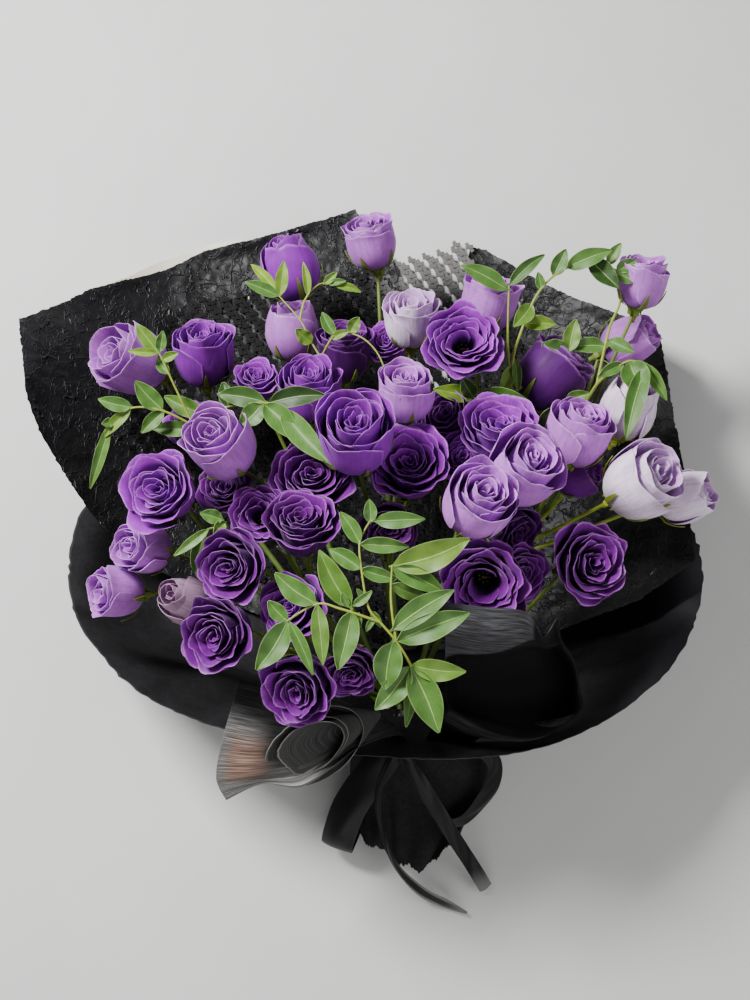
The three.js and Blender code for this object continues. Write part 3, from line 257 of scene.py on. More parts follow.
# Leafy sprays: stalk radius in millimetres, the fork that it springs from, the range of its
# leaves' greens from 0 for old and dark, in part painted shade, to 1 for young, stalks as lists
# of [across, down, height], and leaves as [foot, foot, tip, tip, foot height, tip height, width].
SPRAYS_TABLE = {
    "spray_front": {
        "radius": 1.1, "root": "front_fork", "age": (0.45, 0.8),
        "stalks": [
            [
              [418, 690, 200], [411, 666, 246], [396, 641, 258], [380, 622, 262], [368, 606, 264],
              [361, 566, 264], [360, 541, 262], [370, 521, 258],
            ],
            [[380, 622, 262], [341, 609, 264], [317, 604, 262], [287, 621, 258]],
            [[396, 641, 258], [391, 600, 262], [392, 566, 262]],
        ],
        "leaves": [
            [370, 523, 369, 499, 258, 262, 9], [374, 521, 425, 519, 258, 262, 12],
            [360, 544, 340, 512, 262, 264, 11], [360, 544, 409, 547, 262, 262, 11],
            [361, 569, 329, 549, 264, 262, 12], [361, 569, 397, 579, 264, 260, 10],
            [351, 608, 319, 550, 264, 270, 17], [317, 604, 275, 573, 262, 262, 16],
            [287, 621, 268, 601, 258, 260, 11], [287, 621, 256, 670, 258, 250, 18],
            [289, 621, 313, 675, 258, 254, 9], [317, 604, 323, 665, 262, 256, 12],
            [352, 610, 338, 670, 264, 258, 17], [353, 606, 372, 591, 264, 268, 6],
            [359, 613, 358, 630, 263, 258, 5], [410, 666, 375, 710, 246, 238, 18],
            [411, 667, 439, 733, 246, 236, 22], [411, 665, 466, 672, 246, 246, 15],
            [410, 668, 406, 727, 245, 222, 9], [393, 641, 385, 690, 258, 246, 20],
            [392, 630, 454, 590, 260, 268, 17], [396, 641, 470, 613, 258, 262, 19],
            [392, 566, 470, 539, 262, 268, 21], [392, 568, 444, 592, 262, 258, 15],
            [391, 584, 427, 598, 262, 248, 10], [366, 600, 357, 589, 264, 270, 4],
            [371, 611, 381, 628, 262, 256, 5], [348, 607, 342, 593, 264, 268, 5],
            [375, 617, 366, 632, 262, 258, 4],
        ],
    },
    "spray_left": {
        "radius": 1.1, "root": "far_left_fork", "age": (0.35, 0.9),
        "stalks": [
            [[205, 442, 152], [194, 426, 158], [176, 389, 168], [163, 361, 174], [158, 351, 176]],
            [[194, 426, 158], [163, 411, 166], [132, 408, 166], [110, 424, 158]],
        ],
        "leaves": [
            [158, 352, 136, 324, 176, 180, 11], [160, 352, 163, 331, 176, 184, 8],
            [158, 353, 128, 351, 176, 180, 6], [162, 360, 178, 353, 175, 180, 7],
            [169, 374, 157, 358, 171, 166, 8], [163, 410, 135, 381, 166, 174, 15],
            [132, 407, 98, 399, 166, 170, 11], [164, 411, 141, 433, 166, 160, 11],
            [131, 409, 104, 437, 165, 156, 9], [114, 421, 102, 424, 159, 164, 7],
            [110, 424, 90, 489, 158, 132, 9], [205, 414, 164, 396, 152, 152, 14],
            [193, 430, 153, 429, 156, 150, 12],
        ],
    },
    "spray_middle": {
        "radius": 1.1, "root": "upper_left_fork", "age": (0.0, 0.6),
        "stalks": [
            [[291, 432, 184], [278, 408, 204], [266, 403, 206], [246, 404, 204], [220, 408, 190]],
        ],
        "leaves": [
            [266, 402, 217, 394, 206, 202, 15], [268, 403, 325, 395, 206, 214, 15],
            [262, 404, 240, 426, 206, 204, 16], [264, 404, 298, 440, 206, 214, 18],
            [282, 410, 330, 463, 206, 232, 18], [228, 407, 223, 382, 194, 192, 11],
        ],
    },
    "spray_top": {
        "radius": 0.9, "root": "upper_fork", "age": (0.55, 1.0),
        "stalks": [
            [[321, 358, 141], [309, 338, 140], [300, 320, 138], [279, 296, 134]],
            [[300, 320, 138], [304, 302, 138], [313, 289, 137], [324, 283, 136], [340, 286, 136]],
            [
              [321, 358, 141], [327, 346, 148], [335, 335, 152], [348, 333, 154], [364, 339, 158],
              [378, 354, 176], [388, 378, 226],
            ],
        ],
        "leaves": [
            [279, 296, 245, 282, 134, 138, 10], [278, 294, 250, 263, 134, 124, 8],
            [280, 296, 284, 261, 134, 142, 10], [324, 284, 337, 272, 136, 140, 6],
            [328, 284, 346, 281, 136, 140, 5], [335, 285, 361, 292, 136, 136, 6],
            [308, 296, 303, 262, 137, 144, 6], [312, 343, 296, 329, 142, 152, 11],
            [335, 335, 322, 312, 152, 154, 9], [350, 333, 359, 317, 154, 160, 10],
            [331, 339, 350, 331, 150, 158, 6],
        ],
    },
    "spray_centre": {
        "radius": 1.2, "root": "upper_right_fork", "age": (0.1, 0.9),
        "stalks": [
            [
              [511, 393, 144], [513, 359, 158], [521, 332, 166], [534, 300, 172], [549, 280, 174],
              [567, 268, 174], [590, 258, 172], [616, 270, 166],
            ],
            [[511, 393, 144], [508, 350, 150], [508, 322, 156], [509, 286, 160]],
            [[511, 393, 144], [540, 376, 150], [570, 352, 158]],
            [[511, 393, 144], [492, 402, 158], [473, 396, 168]],
            [[511, 393, 144], [530, 424, 154], [545, 432, 160], [566, 400, 160]],
        ],
        "leaves": [
            [508, 290, 461, 265, 160, 166, 14], [509, 286, 545, 254, 160, 164, 10],
            [532, 304, 514, 326, 171, 180, 13], [524, 324, 556, 324, 168, 170, 11],
            [541, 290, 538, 272, 173, 178, 7], [553, 276, 566, 249, 174, 180, 12],
            [566, 268, 612, 250, 174, 182, 14], [589, 258, 619, 288, 172, 172, 16],
            [608, 265, 621, 243, 168, 172, 9], [616, 271, 637, 260, 166, 170, 10],
            [616, 272, 636, 282, 166, 168, 11], [514, 366, 501, 392, 156, 160, 10],
            [515, 360, 518, 392, 156, 158, 7], [568, 352, 542, 344, 158, 164, 16],
            [569, 352, 576, 319, 158, 164, 13], [474, 397, 529, 401, 168, 176, 14],
            [475, 397, 434, 389, 168, 176, 13], [474, 398, 462, 378, 168, 182, 12],
            [543, 432, 550, 408, 160, 166, 14], [565, 401, 590, 393, 160, 166, 10],
        ],
    },
    "spray_right": {
        "radius": 1.3, "root": "right_fork", "age": (0.3, 0.95),
        "stalks": [
            [[584, 406, 140], [597, 384, 158], [612, 371, 166], [629, 361, 172], [646, 364, 172]],
            [[597, 384, 158], [609, 330, 156], [619, 306, 152], [622, 290, 150]],
        ],
        "leaves": [
            [606, 346, 571, 347, 157, 156, 12], [608, 340, 634, 352, 156, 164, 11],
            [629, 361, 646, 393, 172, 178, 22], [644, 363, 667, 400, 172, 170, 10],
            [646, 366, 627, 438, 172, 182, 15], [624, 364, 598, 377, 170, 172, 9],
        ],
    },
    "spray_low": {
        "radius": 0.9, "root": "left_fork", "age": (0.4, 0.8),
        "stalks": [
            [[233, 540, 194], [227, 525, 226], [223, 520, 234]],
            [[227, 525, 226], [209, 529, 234], [203, 533, 232]],
        ],
        "leaves": [
            [223, 520, 200, 513, 234, 238, 10], [225, 523, 214, 534, 232, 238, 8],
            [209, 529, 174, 556, 236, 232, 7], [205, 532, 194, 575, 233, 212, 11],
        ],
    },
}

# Forks, where the branches leave the main stems: pixel and height, and the place in the tie.
FORKS = {
    "left_fork": ((225, 560, 90), (-17, -4)),
    "far_left_fork": ((215, 480, 60), (-17, 6)),
    "upper_left_fork": ((300, 470, 55), (-8, 14)),
    "upper_fork": ((385, 450, 60), (1, 17)),
    "upper_right_fork": ((480, 450, 60), (10, 13)),
    "right_fork": ((560, 490, 75), (17, 5)),
    "centre_fork": ((385, 560, 120), (0, 3)),
    "centre_right_fork": ((470, 570, 120), (10, -2)),
    "centre_left_fork": ((300, 580, 120), (-8, 1)),
    "front_left_fork": ((290, 650, 120), (-10, -11)),
    "front_right_fork": ((520, 620, 120), (11, -11)),
    "front_fork": ((412, 690, 150), (1, -15)),
}


@dataclass
class Shells:
    """Gathers thin closed sheets, and makes one mesh of them.

    Each sheet is a grid of points whose columns run anticlockwise as seen from its front. Its UV
    map runs from 0 to 1 over the grid, and three attributes go with it: side is 1 on the front
    and 0 on the back, chance is one random number for the sheet, and rank is what the maker says.
    """

    points: list = field(default_factory=list)
    faces: list = field(default_factory=list)
    uvs: list = field(default_factory=list)
    marks: list = field(default_factory=list)
    total: int = 0

    @staticmethod
    def normals(grid: Array, closed: bool) -> Array:
        """The grid's normals, on its front.

        Args:
            grid: Points as [row, column, 3].
            closed: Whether the last column joins the first.

        Returns:
            One normal for each point.
        """
        if closed:
            across = np.roll(grid, -1, axis=1) - np.roll(grid, 1, axis=1)
        else:
            across = np.gradient(grid, axis=1)
        return unit(np.cross(across, np.gradient(grid, axis=0)))

    def add(self, grid: Array, thickness: float, chance: float = 0.0, rank: float = 0.0,
            closed: bool = False) -> None:
        """Adds one sheet.

        Args:
            grid: Its middle surface, as [row, column, 3].
            thickness: The distance from front to back.
            chance: A random number from 0 to 1, for its colour.
            rank: A second number for its colour.
            closed: Whether the last column joins the first.
        """
        rows, columns = grid.shape[:2]
        count = rows * columns
        half = self.normals(grid, closed) * thickness / 2
        index = np.arange(count).reshape(rows, columns)
        spans = columns if closed else columns - 1
        here, there = np.arange(spans), (np.arange(spans) + 1) % columns

        def corners(low: Array, high: Array, flip: bool) -> Array:
            """Four corners for each cell between two rows of the grid."""
            quad = [low[..., here], low[..., there], high[..., there], high[..., here]]
            return np.stack(quad[::-1] if flip else quad, axis=-1).reshape(-1, 4)

        u = np.linspace(0, 1, spans + 1)
        v = np.linspace(0, 1, rows)
        cell_u = np.stack([u[:-1], u[1:], u[1:], u[:-1]], axis=-1)
        cell_v = np.stack([v[:-1], v[:-1], v[1:], v[1:]], axis=-1)
        shape = (rows - 1, spans, 4)
        cell_uv = np.stack([np.broadcast_to(cell_u, shape), np.broadcast_to(cell_v[:, None], shape)], axis=-1)
        cell_uv = cell_uv.reshape(-1, 4, 2)
        front = corners(index[:-1], index[1:], False)
        back = corners(index[:-1], index[1:], True) + count
        faces, uvs = [front, back], [cell_uv, cell_uv[:, ::-1]]
        for row, flip in ((0, False), (rows - 1, True)):
            faces.append(corners(index[row] + count, index[row], flip))
            edge = np.stack([cell_u, np.full_like(cell_u, v[row])], axis=-1)
            uvs.append(edge[:, ::-1] if flip else edge)
        if not closed:
            for column, flip in ((0, True), (columns - 1, False)):
                low, high = index[:, column] + count, index[:, column]
                quad = [low[:-1], low[1:], high[1:], high[:-1]]
                faces.append(np.stack(quad[::-1] if flip else quad, axis=-1))
                sides = np.stack([v[:-1], v[1:], v[1:], v[:-1]], axis=-1)
                edge = np.stack([np.full_like(sides, 1.0 if column else 0.0), sides], -1)
                uvs.append(edge[:, ::-1] if flip else edge)
        self.points += [(grid + half).reshape(-1, 3), (grid - half).reshape(-1, 3)]
        self.faces.append(np.concatenate(faces) + self.total)
        self.uvs.append(np.concatenate(uvs).reshape(-1, 2))
        self.marks.append(points_of(np.repeat([1.0, 0.0], count), chance, rank))
        self.total += 2 * count

    def mesh(self, name: str, sharp: float = 50.0) -> Mesh:
        """Makes the mesh.

        Args:
            name: The mesh's name.
            sharp: Edges that turn by more degrees than this stay sharp.

        Returns:
            A mesh of four-sided faces with the UV map and the attributes.
        """
        points, faces = np.concatenate(self.points), np.concatenate(self.faces)
        mesh = bpy.data.meshes.new(name)
        mesh.vertices.add(len(points))
        mesh.vertices.foreach_set("co", points.astype(np.float32).ravel())
        mesh.loops.add(faces.size)
        mesh.loops.foreach_set("vertex_index", faces.astype(np.int32).ravel())
        mesh.polygons.add(len(faces))
        mesh.polygons.foreach_set("loop_start", np.arange(0, faces.size, 4, dtype=np.int32))
        mesh.update(calc_edges=True)
        layer = mesh.uv_layers.new(name="Surface")
        layer.uv.foreach_set("vector", np.concatenate(self.uvs).astype(np.float32).ravel())
        for title, values in zip(("side", "chance", "rank"), np.concatenate(self.marks).T):
            mark(mesh, title, values)
        return smoothed(mesh, sharp)


def mark(mesh: Mesh, title: str, values: Array) -> None:
    """Gives each of a mesh's points a number, as an attribute."""
    attribute = mesh.attributes.new(title, "FLOAT", "POINT")
    attribute.data.foreach_set("value", np.ascontiguousarray(values, np.float32))


def smoothed(mesh: Mesh, sharp: float) -> Mesh:
    """Shades a mesh smooth, but for edges that turn by more than sharp degrees, and checks it.

    Args:
        mesh: The mesh.
        sharp: Edges that turn by more degrees than this stay sharp.

    Returns:
        The mesh.
    """
    mesh.polygons.foreach_set("use_smooth", np.ones(len(mesh.polygons), bool))
    mesh.set_sharp_from_angle(angle=math.radians(sharp))
    mesh.validate()
    return mesh


def stood(name: str, data: bpy.types.ID) -> Piece:
    """Puts an object for a mesh, a light or a camera into the scene.

    Args:
        name: The object's name.
        data: What it shows.

    Returns:
        The object.
    """
    thing = bpy.data.objects.new(name, data)
    bpy.context.scene.collection.objects.link(thing)
    return thing


def place(name: str, mesh: Mesh, slot: str, material: Material | None = None) -> Piece:
    """Puts a mesh into the scene.

    Args:
        name: The part's node that it stands for.
        mesh: Its mesh, in the part's frame.
        slot: The record's material slot.
        material: Its material, if it has one yet.

    Returns:
        The object.
    """
    if material:
        mesh.materials.append(material)
    piece = stood(f"{name}_look", mesh)
    piece["slot"] = slot
    piece["node"] = name
    return piece


def handed_over(piece: Piece) -> None:
    """Says what a finished piece rides on, replaces and is made of, and reports it.

    Args:
        piece: The piece, which carries its node and its slot.
    """
    node, slot = piece["node"], piece["slot"]
    del piece["node"], piece["slot"]
    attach(piece, "root")
    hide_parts(node)
    LOG.info("%s stands for %s in %s with %d faces", piece.name, node, slot, len(piece.data.polygons))


class Weave:
    """A node tree under construction, for a material, a shader group or a geometry tree."""

    def __init__(self, tree: Tree) -> None:
        """Starts on an empty tree."""
        self.tree = tree
        tree.nodes.clear()

    def add(self, kind: str, inputs: dict | None = None, **settings: object) -> Node:
        """Adds a node.

        Args:
            kind: The node's type name.
            inputs: Values or sockets for its inputs, by name or by number.
            settings: Properties to set on it.

        Returns:
            The node.
        """
        node = self.tree.nodes.new(kind)
        for key, value in settings.items():
            setattr(node, key, value)
        self.feed(node, inputs or {})
        return node

    def feed(self, node: Node, inputs: dict) -> None:
        """Gives inputs their values, or links them to a socket or to a node's first output.

        Args:
            node: The node.
            inputs: Values, sockets or nodes, by the input's name or number.
        """
        for key, value in inputs.items():
            if isinstance(value, Node):
                value = next(out for out in value.outputs if out.enabled)
            if isinstance(value, Socket):
                self.tree.links.new(value, node.inputs[key])
            else:
                node.inputs[key].default_value = value

    def sum(self, operation: str, a: object, b: object = 0.0, c: object = 0.0, clamp: bool = False) -> Socket:
        """A math node's result."""
        return self.add("ShaderNodeMath", {0: a, 1: b, 2: c}, operation=operation, use_clamp=clamp).outputs[0]

    def times(self, *factors: object) -> Socket:
        """The product of values."""
        return reduce(partial(self.sum, "MULTIPLY"), factors)

    def most(self, *values: object) -> Socket:
        """The greatest of values."""
        return reduce(partial(self.sum, "MAXIMUM"), values)

    def scaled(self, value: object, factor: object, added: object, clamp: bool = False) -> Socket:
        """A value times a factor, with something added."""
        return self.sum("MULTIPLY_ADD", value, factor, added, clamp)

    def off_middle(self, share: object) -> Socket:
        """How far a share from 0 to 1 lies off the middle."""
        return self.sum("ABSOLUTE", self.sum("SUBTRACT", share, 0.5))

    def span(self, value: object, low: float, high: float, to_low: float = 0.0,
             to_high: float = 1.0) -> Socket:
        """A value carried smoothly from one range to another."""
        inputs = {"Value": value, "From Min": low, "From Max": high, "To Min": to_low, "To Max": to_high}
        return self.add("ShaderNodeMapRange", inputs, interpolation_type="SMOOTHSTEP").outputs["Result"]

    def window(self, value: object, rise: Pair, fall: Pair) -> Socket:
        """1 between a rise and a fall of the value, and 0 beyond them."""
        return self.times(self.span(value, *rise), self.span(value, *fall))

    def blend(self, share: object, a: object, b: object) -> Socket:
        """Two colours mixed.

        Args:
            share: How much of the second.
            a: The first.
            b: The second.

        Returns:
            The mixed colour.
        """
        inputs = {0: share, 6: a, 7: b}
        mixed = self.add("ShaderNodeMix", inputs, data_type="RGBA", blend_type="MIX", clamp_factor=True)
        return mixed.outputs[2]

    def tinted(self, colour: object, value: object) -> Node:
        """A colour made lighter or darker."""
        return self.add("ShaderNodeHueSaturation", {"Value": value, "Color": colour})

    def noise(self, where: object, scale: object, detail: float, roughness: float = 0.5) -> Node:
        """A noise texture."""
        inputs = {"Vector": where, "Scale": scale, "Detail": detail, "Roughness": roughness}
        return self.add("ShaderNodeTexNoise", inputs)

    def vector(self, x: object = 0.0, y: object = 0.0, z: object = 0.0) -> Socket:
        """A vector from its three parts."""
        return self.add("ShaderNodeCombineXYZ", {0: x, 1: y, 2: z}).outputs[0]

    def parts(self, vector: object) -> tuple[Socket, Socket, Socket]:
        """A vector's three parts."""
        return tuple(self.add("ShaderNodeSeparateXYZ", {0: vector}).outputs)

    def vectors(self, operation: str, a: object, b: object) -> Socket:
        """A vector math node's result."""
        return self.add("ShaderNodeVectorMath", {0: a, 1: b}, operation=operation).outputs[0]

    def attribute(self, name: str) -> Socket:
        """A mesh attribute's value, in a material."""
        return self.add("ShaderNodeAttribute", attribute_name=name).outputs["Fac"]

    def stored(self, name: str, kind: str) -> Socket:
        """A mesh attribute's value, in a geometry tree."""
        named = self.add("GeometryNodeInputNamedAttribute", {"Name": name}, data_type=kind)
        return named.outputs["Attribute"]

    def joined(self, *pieces: Node) -> Node:
        """Nodes' geometry as one.

        Args:
            pieces: The nodes.

        Returns:
            The node that joins them.
        """
        join = self.add("GeometryNodeJoinGeometry")
        for piece in pieces:
            self.tree.links.new(piece.outputs[0], join.inputs[0])
        return join

    def ended(self, geometry: Node, finish: Socket) -> Tree:
        """Makes a geometry tree's instances real, gives them a material and ends the tree.

        Args:
            geometry: The node that gives the geometry.
            finish: The socket that gives the material.

        Returns:
            The tree.
        """
        whole = self.add("GeometryNodeRealizeInstances", {"Geometry": geometry})
        dressed = self.add("GeometryNodeSetMaterial", {"Geometry": whole, "Material": finish})
        self.add("NodeGroupOutput", {"Geometry": dressed})
        return self.tree


def new_group(name: str, kind: str, inputs: dict, outputs: dict) -> tuple[Weave, dict]:
    """Starts a node group.

    Args:
        name: The group's name.
        kind: Shader or Geometry.
        inputs: Each input's first value, or the name of its kind where it has none, by name.
        outputs: The name of each output's kind, by name.

    Returns:
        The weave that builds it, and its inputs' sockets by name.
    """
    tree = bpy.data.node_groups.new(name, f"{kind}NodeTree")
    weave = Weave(tree)
    number_kinds = {float: "Float", int: "Int"}
    for title, value in inputs.items():
        shape = number_kinds.get(type(value), value)
        socket = tree.interface.new_socket(name=title, in_out="INPUT", socket_type=f"NodeSocket{shape}")
        if type(value) in number_kinds:
            socket.default_value = value
    for title, shape in outputs.items():
        tree.interface.new_socket(name=title, in_out="OUTPUT", socket_type=f"NodeSocket{shape}")
    given = weave.add("NodeGroupInput").outputs
    return weave, {title: given[title] for title in inputs}


@cache
def mottling_group() -> Tree:
    """Builds the group that varies a finish softly: large clouds with a fine grain over them.

    Returns:
        The group.
    """
    weave, given = new_group("Mottling", "Shader", {"Vector": "Vector", "Scale": 60.0, "Grain": 0.3},
                             {"Value": "Float"})
    clouds = weave.noise(given["Vector"], given["Scale"], 3.0)
    grain = weave.noise(given["Vector"], weave.times(given["Scale"], 9.0), 2.0)
    part = weave.times(clouds.outputs["Fac"], weave.sum("SUBTRACT", 1.0, given["Grain"]))
    weave.add("NodeGroupOutput", {"Value": weave.scaled(grain.outputs["Fac"], given["Grain"], part)})
    return weave.tree


@cache
def veins_group() -> Tree:
    """Builds the group of fine lines that run from the foot of a petal or leaf to its rim.

    Returns:
        The group.
    """
    inputs = {"Along": 0.0, "Across": 0.0, "Chance": 0.0, "Count": 26.0, "Length": 1.6}
    weave, given = new_group("Veins", "Shader", inputs, {"Value": "Float"})
    apart = weave.times(given["Chance"], 71.0)
    where = weave.vector(weave.times(given["Across"], given["Count"]),
                         weave.times(given["Along"], given["Length"]), apart)
    weave.add("NodeGroupOutput", {"Value": weave.noise(where, 1.0, 3.5, 0.6)})
    return weave.tree


@cache
def creases_group() -> Tree:
    """Builds the group of short worm-like ridges pressed into paper.

    Returns:
        The group.
    """
    inputs = {"Vector": "Vector", "Scale": 120.0, "Bend": 1.0}
    weave, given = new_group("Pressed creases", "Shader", inputs, {"Ridge": "Float"})
    drift = weave.noise(given["Vector"], weave.times(given["Scale"], 0.3), 2.0)
    centred = weave.vectors("SUBTRACT", drift.outputs["Color"], (0.5, 0.5, 0.5))
    reach = weave.sum("DIVIDE", given["Bend"], given["Scale"])
    bent = weave.add("ShaderNodeVectorMath", {0: centred, "Scale": reach}, operation="SCALE")
    where = weave.vectors("ADD", given["Vector"], bent)
    ridges = []
    for share, detail, width, height in ((0.26, 1.0, 0.016, 1.0), (0.85, 2.0, 0.05, 0.6)):
        worms = weave.noise(where, weave.times(given["Scale"], share), detail)
        ridges.append(weave.span(weave.off_middle(worms.outputs["Fac"]), 0.0, width, height, 0.0))
    gaps = weave.span(drift.outputs["Fac"], 0.4, 0.55, 0.25, 1.0)
    both = weave.times(weave.most(*ridges), gaps)
    weave.add("NodeGroupOutput", {"Ridge": both})
    return weave.tree


@dataclass
class Finish:
    """A material under construction, with the principled shader that ends it."""

    name: str
    roughness: float = 0.6
    sheen: float = 0.0
    specular: float = 0.5
    weave: Weave = field(init=False)
    shader: Node = field(init=False)
    material: Material = field(init=False)

    def __post_init__(self) -> None:
        """Starts the node tree."""
        self.material = bpy.data.materials.new(self.name)
        self.material.use_nodes = True
        self.weave = Weave(self.material.node_tree)
        inputs = {
            "Roughness": self.roughness,
            "Specular IOR Level": self.specular,
            "Sheen Weight": self.sheen,
        }
        self.shader = self.weave.add("ShaderNodeBsdfPrincipled", inputs)
        self.weave.add("ShaderNodeOutputMaterial", {"Surface": self.shader.outputs["BSDF"]})

    def object_place(self) -> Socket:
        """The place on the piece, in metres."""
        return self.weave.add("ShaderNodeTexCoord").outputs["Object"]

    def surface_place(self) -> tuple[Socket, Socket]:
        """How far across and along its own sheet a point lies."""
        uv = self.weave.add("ShaderNodeUVMap", uv_map="Surface")
        return self.weave.parts(uv.outputs["UV"])[:2]

    def group(self, tree: Tree, inputs: dict) -> Node:
        """Places a shared group."""
        return self.weave.add("ShaderNodeGroup", inputs, node_tree=tree)

    def clouds(self, scale: float, grain: float) -> Node:
        """Places soft clouds over the piece, with a share of fine grain."""
        return self.group(mottling_group(), {"Vector": self.object_place(), "Scale": scale, "Grain": grain})

    def feed(self, inputs: dict) -> None:
        """Feeds some of the shader's inputs."""
        self.weave.feed(self.shader, inputs)

    def soft_inside(self, weight: float, radius: tuple[float, float, float], depth: float) -> None:
        """Lets light wander inside, as it does in living tissue."""
        self.feed({"Subsurface Weight": weight, "Subsurface Radius": radius, "Subsurface Scale": depth})

    def bump(self, height: object, strength: float, distance: float) -> None:
        """Raises the surface by a height pattern."""
        inputs = {"Height": height, "Strength": strength, "Distance": distance}
        self.feed({"Normal": self.weave.add("ShaderNodeBump", inputs).outputs["Normal"]})


@dataclass(frozen=True)
class PetalFinish:
    """The colours of one kind of petal."""

    tone: Tone
    throat: Colour
    body: Colour
    outside: Colour
    foot: Colour
    rim: Colour
    vein: Colour
    # The near-black colour of the painted shade deep in the hollow of the head.
    hollow_shade: Colour = srgb(12, 8, 12)

    @cache
    def material(self) -> Material:
        """Makes velvety tissue, darker in the throat and with painted shade in the inner hollow, veined, with
        a thin pale broken rim.

        Returns:
            The material.
        """
        finish = Finish(f"{self.tone.value} tissue", roughness=0.6, sheen=0.12, specular=0.28)
        weave = finish.weave
        across, along = finish.surface_place()
        side, chance, rank = (weave.attribute(name) for name in ("side", "chance", "rank"))
        veins = finish.group(veins_group(), {"Along": along, "Across": across, "Chance": chance})
        clouds = finish.clouds(70.0, 0.25)
        # Painted shade: the inner faces of the inner petals darken to near black towards their feet.
        hollow_shade = weave.times(weave.span(along, 0.35, 0.95, 0.92, 0.0), weave.span(rank, 0.35, 1.0))
        inner = weave.blend(weave.span(along, 0.15, 0.85), self.throat, self.body)
        outer = weave.blend(weave.span(along, 0.05, 0.6), self.foot, self.outside)
        colour = weave.blend(side, weave.blend(hollow_shade, inner, self.hollow_shade), outer)
        colour = weave.blend(weave.times(weave.span(veins, 0.42, 0.7), 0.45), colour, self.vein)
        value = weave.times(weave.span(clouds, 0.35, 0.7, 0.86, 1.14), weave.scaled(chance, 0.16, 0.92))
        ragged = weave.scaled(veins, 0.03, 0.958)
        edge = weave.span(weave.sum("SUBTRACT", along, ragged), -0.03, 0.03)
        side_edge = weave.span(weave.off_middle(across), 0.48, 0.5, 0.0, 0.8)
        broken = weave.span(clouds, 0.36, 0.62, 0.14, 0.55)
        pale = weave.times(weave.most(edge, side_edge), broken, weave.scaled(rank, -0.45, 1.0))
        finish.feed({
            "Base Color": weave.blend(pale, weave.tinted(colour, value), self.rim),
            "Roughness": weave.span(veins, 0.3, 0.7, 0.5, 0.72),
            "Sheen Tint": (0.85, 0.6, 1.0, 1.0),
            "Sheen Roughness": 0.4,
        })
        finish.soft_inside(0.12, (1.0, 0.5, 1.3), 0.002)
        finish.bump(veins, 0.35, 0.0006)
        return finish.material


PETAL_FINISHES = (
    PetalFinish(Tone.DEEP, srgb(32, 1, 48), srgb(106, 9, 126), srgb(74, 10, 92),
                srgb(60, 12, 92), srgb(200, 138, 216), srgb(82, 8, 112)),
    PetalFinish(Tone.VIOLET, srgb(66, 5, 96), srgb(146, 32, 174), srgb(132, 34, 162),
                srgb(84, 20, 124), srgb(218, 156, 232), srgb(112, 24, 154)),
    PetalFinish(Tone.LAVENDER, srgb(126, 44, 160), srgb(190, 102, 210), srgb(186, 112, 204),
                srgb(136, 84, 158), srgb(238, 202, 244), srgb(152, 76, 190)),
    PetalFinish(Tone.PALE, srgb(166, 104, 196), srgb(214, 166, 228), srgb(232, 212, 236),
                srgb(208, 198, 184), srgb(246, 234, 246), srgb(194, 148, 212)),
    PetalFinish(Tone.FADED, srgb(104, 62, 104), srgb(172, 124, 174), srgb(178, 142, 172),
                srgb(122, 98, 96), srgb(208, 184, 192), srgb(126, 90, 102)),
)


@dataclass(frozen=True)
class GreenFinish:
    """The colours of leaves or stems."""

    name: str
    body: Colour
    young: Colour
    shaded: Colour
    underside: Colour
    rib: Colour
    leafy: bool

    @cache
    def material(self) -> Material:
        """Makes soft satin green tissue.

        Returns:
            The material.
        """
        finish = Finish(self.name, roughness=0.5, specular=0.45)
        weave = finish.weave
        clouds = finish.clouds(110.0, 0.35)
        if self.leafy:
            colour = self.leaf_colour(finish)
        else:
            colour = weave.blend(weave.attribute("young"), self.body, self.young)
            finish.bump(clouds, 0.3, 0.0006)
        finish.feed({
            "Base Color": weave.tinted(colour, weave.span(clouds, 0.3, 0.7, 0.82, 1.18)),
            "Roughness": weave.span(clouds, 0.3, 0.7, 0.42, 0.6),
        })
        finish.soft_inside(0.08, (0.6, 1.0, 0.3), 0.0015)
        return finish.material

    def leaf_colour(self, finish: Finish) -> Socket:
        """Draws a leaf's pale rib, side veins and margin, and sinks its ribs.

        Args:
            finish: The material under construction.

        Returns:
            The leaf's colour, paler on the underside.
        """
        weave = finish.weave
        across, along = finish.surface_place()
        side, chance = weave.attribute("side"), weave.attribute("chance")
        out = weave.off_middle(across)
        # Leaves of low chance take the dark green, in part painted shade; those of high chance the young
        # yellow-green.
        dark = weave.span(chance, 0.0, 0.35, 1.0, 0.0)
        young = weave.span(chance, 0.62, 0.95)
        top = weave.blend(young, weave.blend(dark, self.body, self.shaded), self.young)
        under = weave.blend(dark, self.underside, self.body)
        wave = weave.sum("SINE", weave.times(weave.scaled(out, -0.5, along), 62.0))
        side_veins = weave.times(weave.span(wave, 0.86, 1.0), 0.045)
        rib = weave.span(out, 0.0, 0.035, 0.85, 0.0)
        margin = weave.span(out, 0.455, 0.5, 0.0, 0.35)
        finish.bump(weave.scaled(rib, -1.0, weave.times(side_veins, -2.0)), 0.4, 0.0008)
        return weave.blend(weave.most(rib, side_veins, margin), weave.blend(side, under, top), self.rib)


LEAF_GREEN = GreenFinish("leaf tissue", srgb(72, 112, 42), srgb(114, 144, 26), srgb(22, 50, 12),
                         srgb(118, 146, 90), srgb(164, 188, 112), True)
STEM_GREEN = GreenFinish("stem tissue", srgb(74, 98, 40), srgb(150, 164, 50), srgb(50, 70, 30),
                         srgb(82, 112, 54), srgb(120, 140, 70), False)


@dataclass(frozen=True)
class FormShape:
    """How the petals of a head stand, in shares of its half width and of its depth."""

    depth: float
    petals: int
    innermost: float
    rim_height: tuple[float, float, float]
    belly: tuple[float, float, float]
    rim: float
    half_angle: Pair
    wave: float
    curl: float


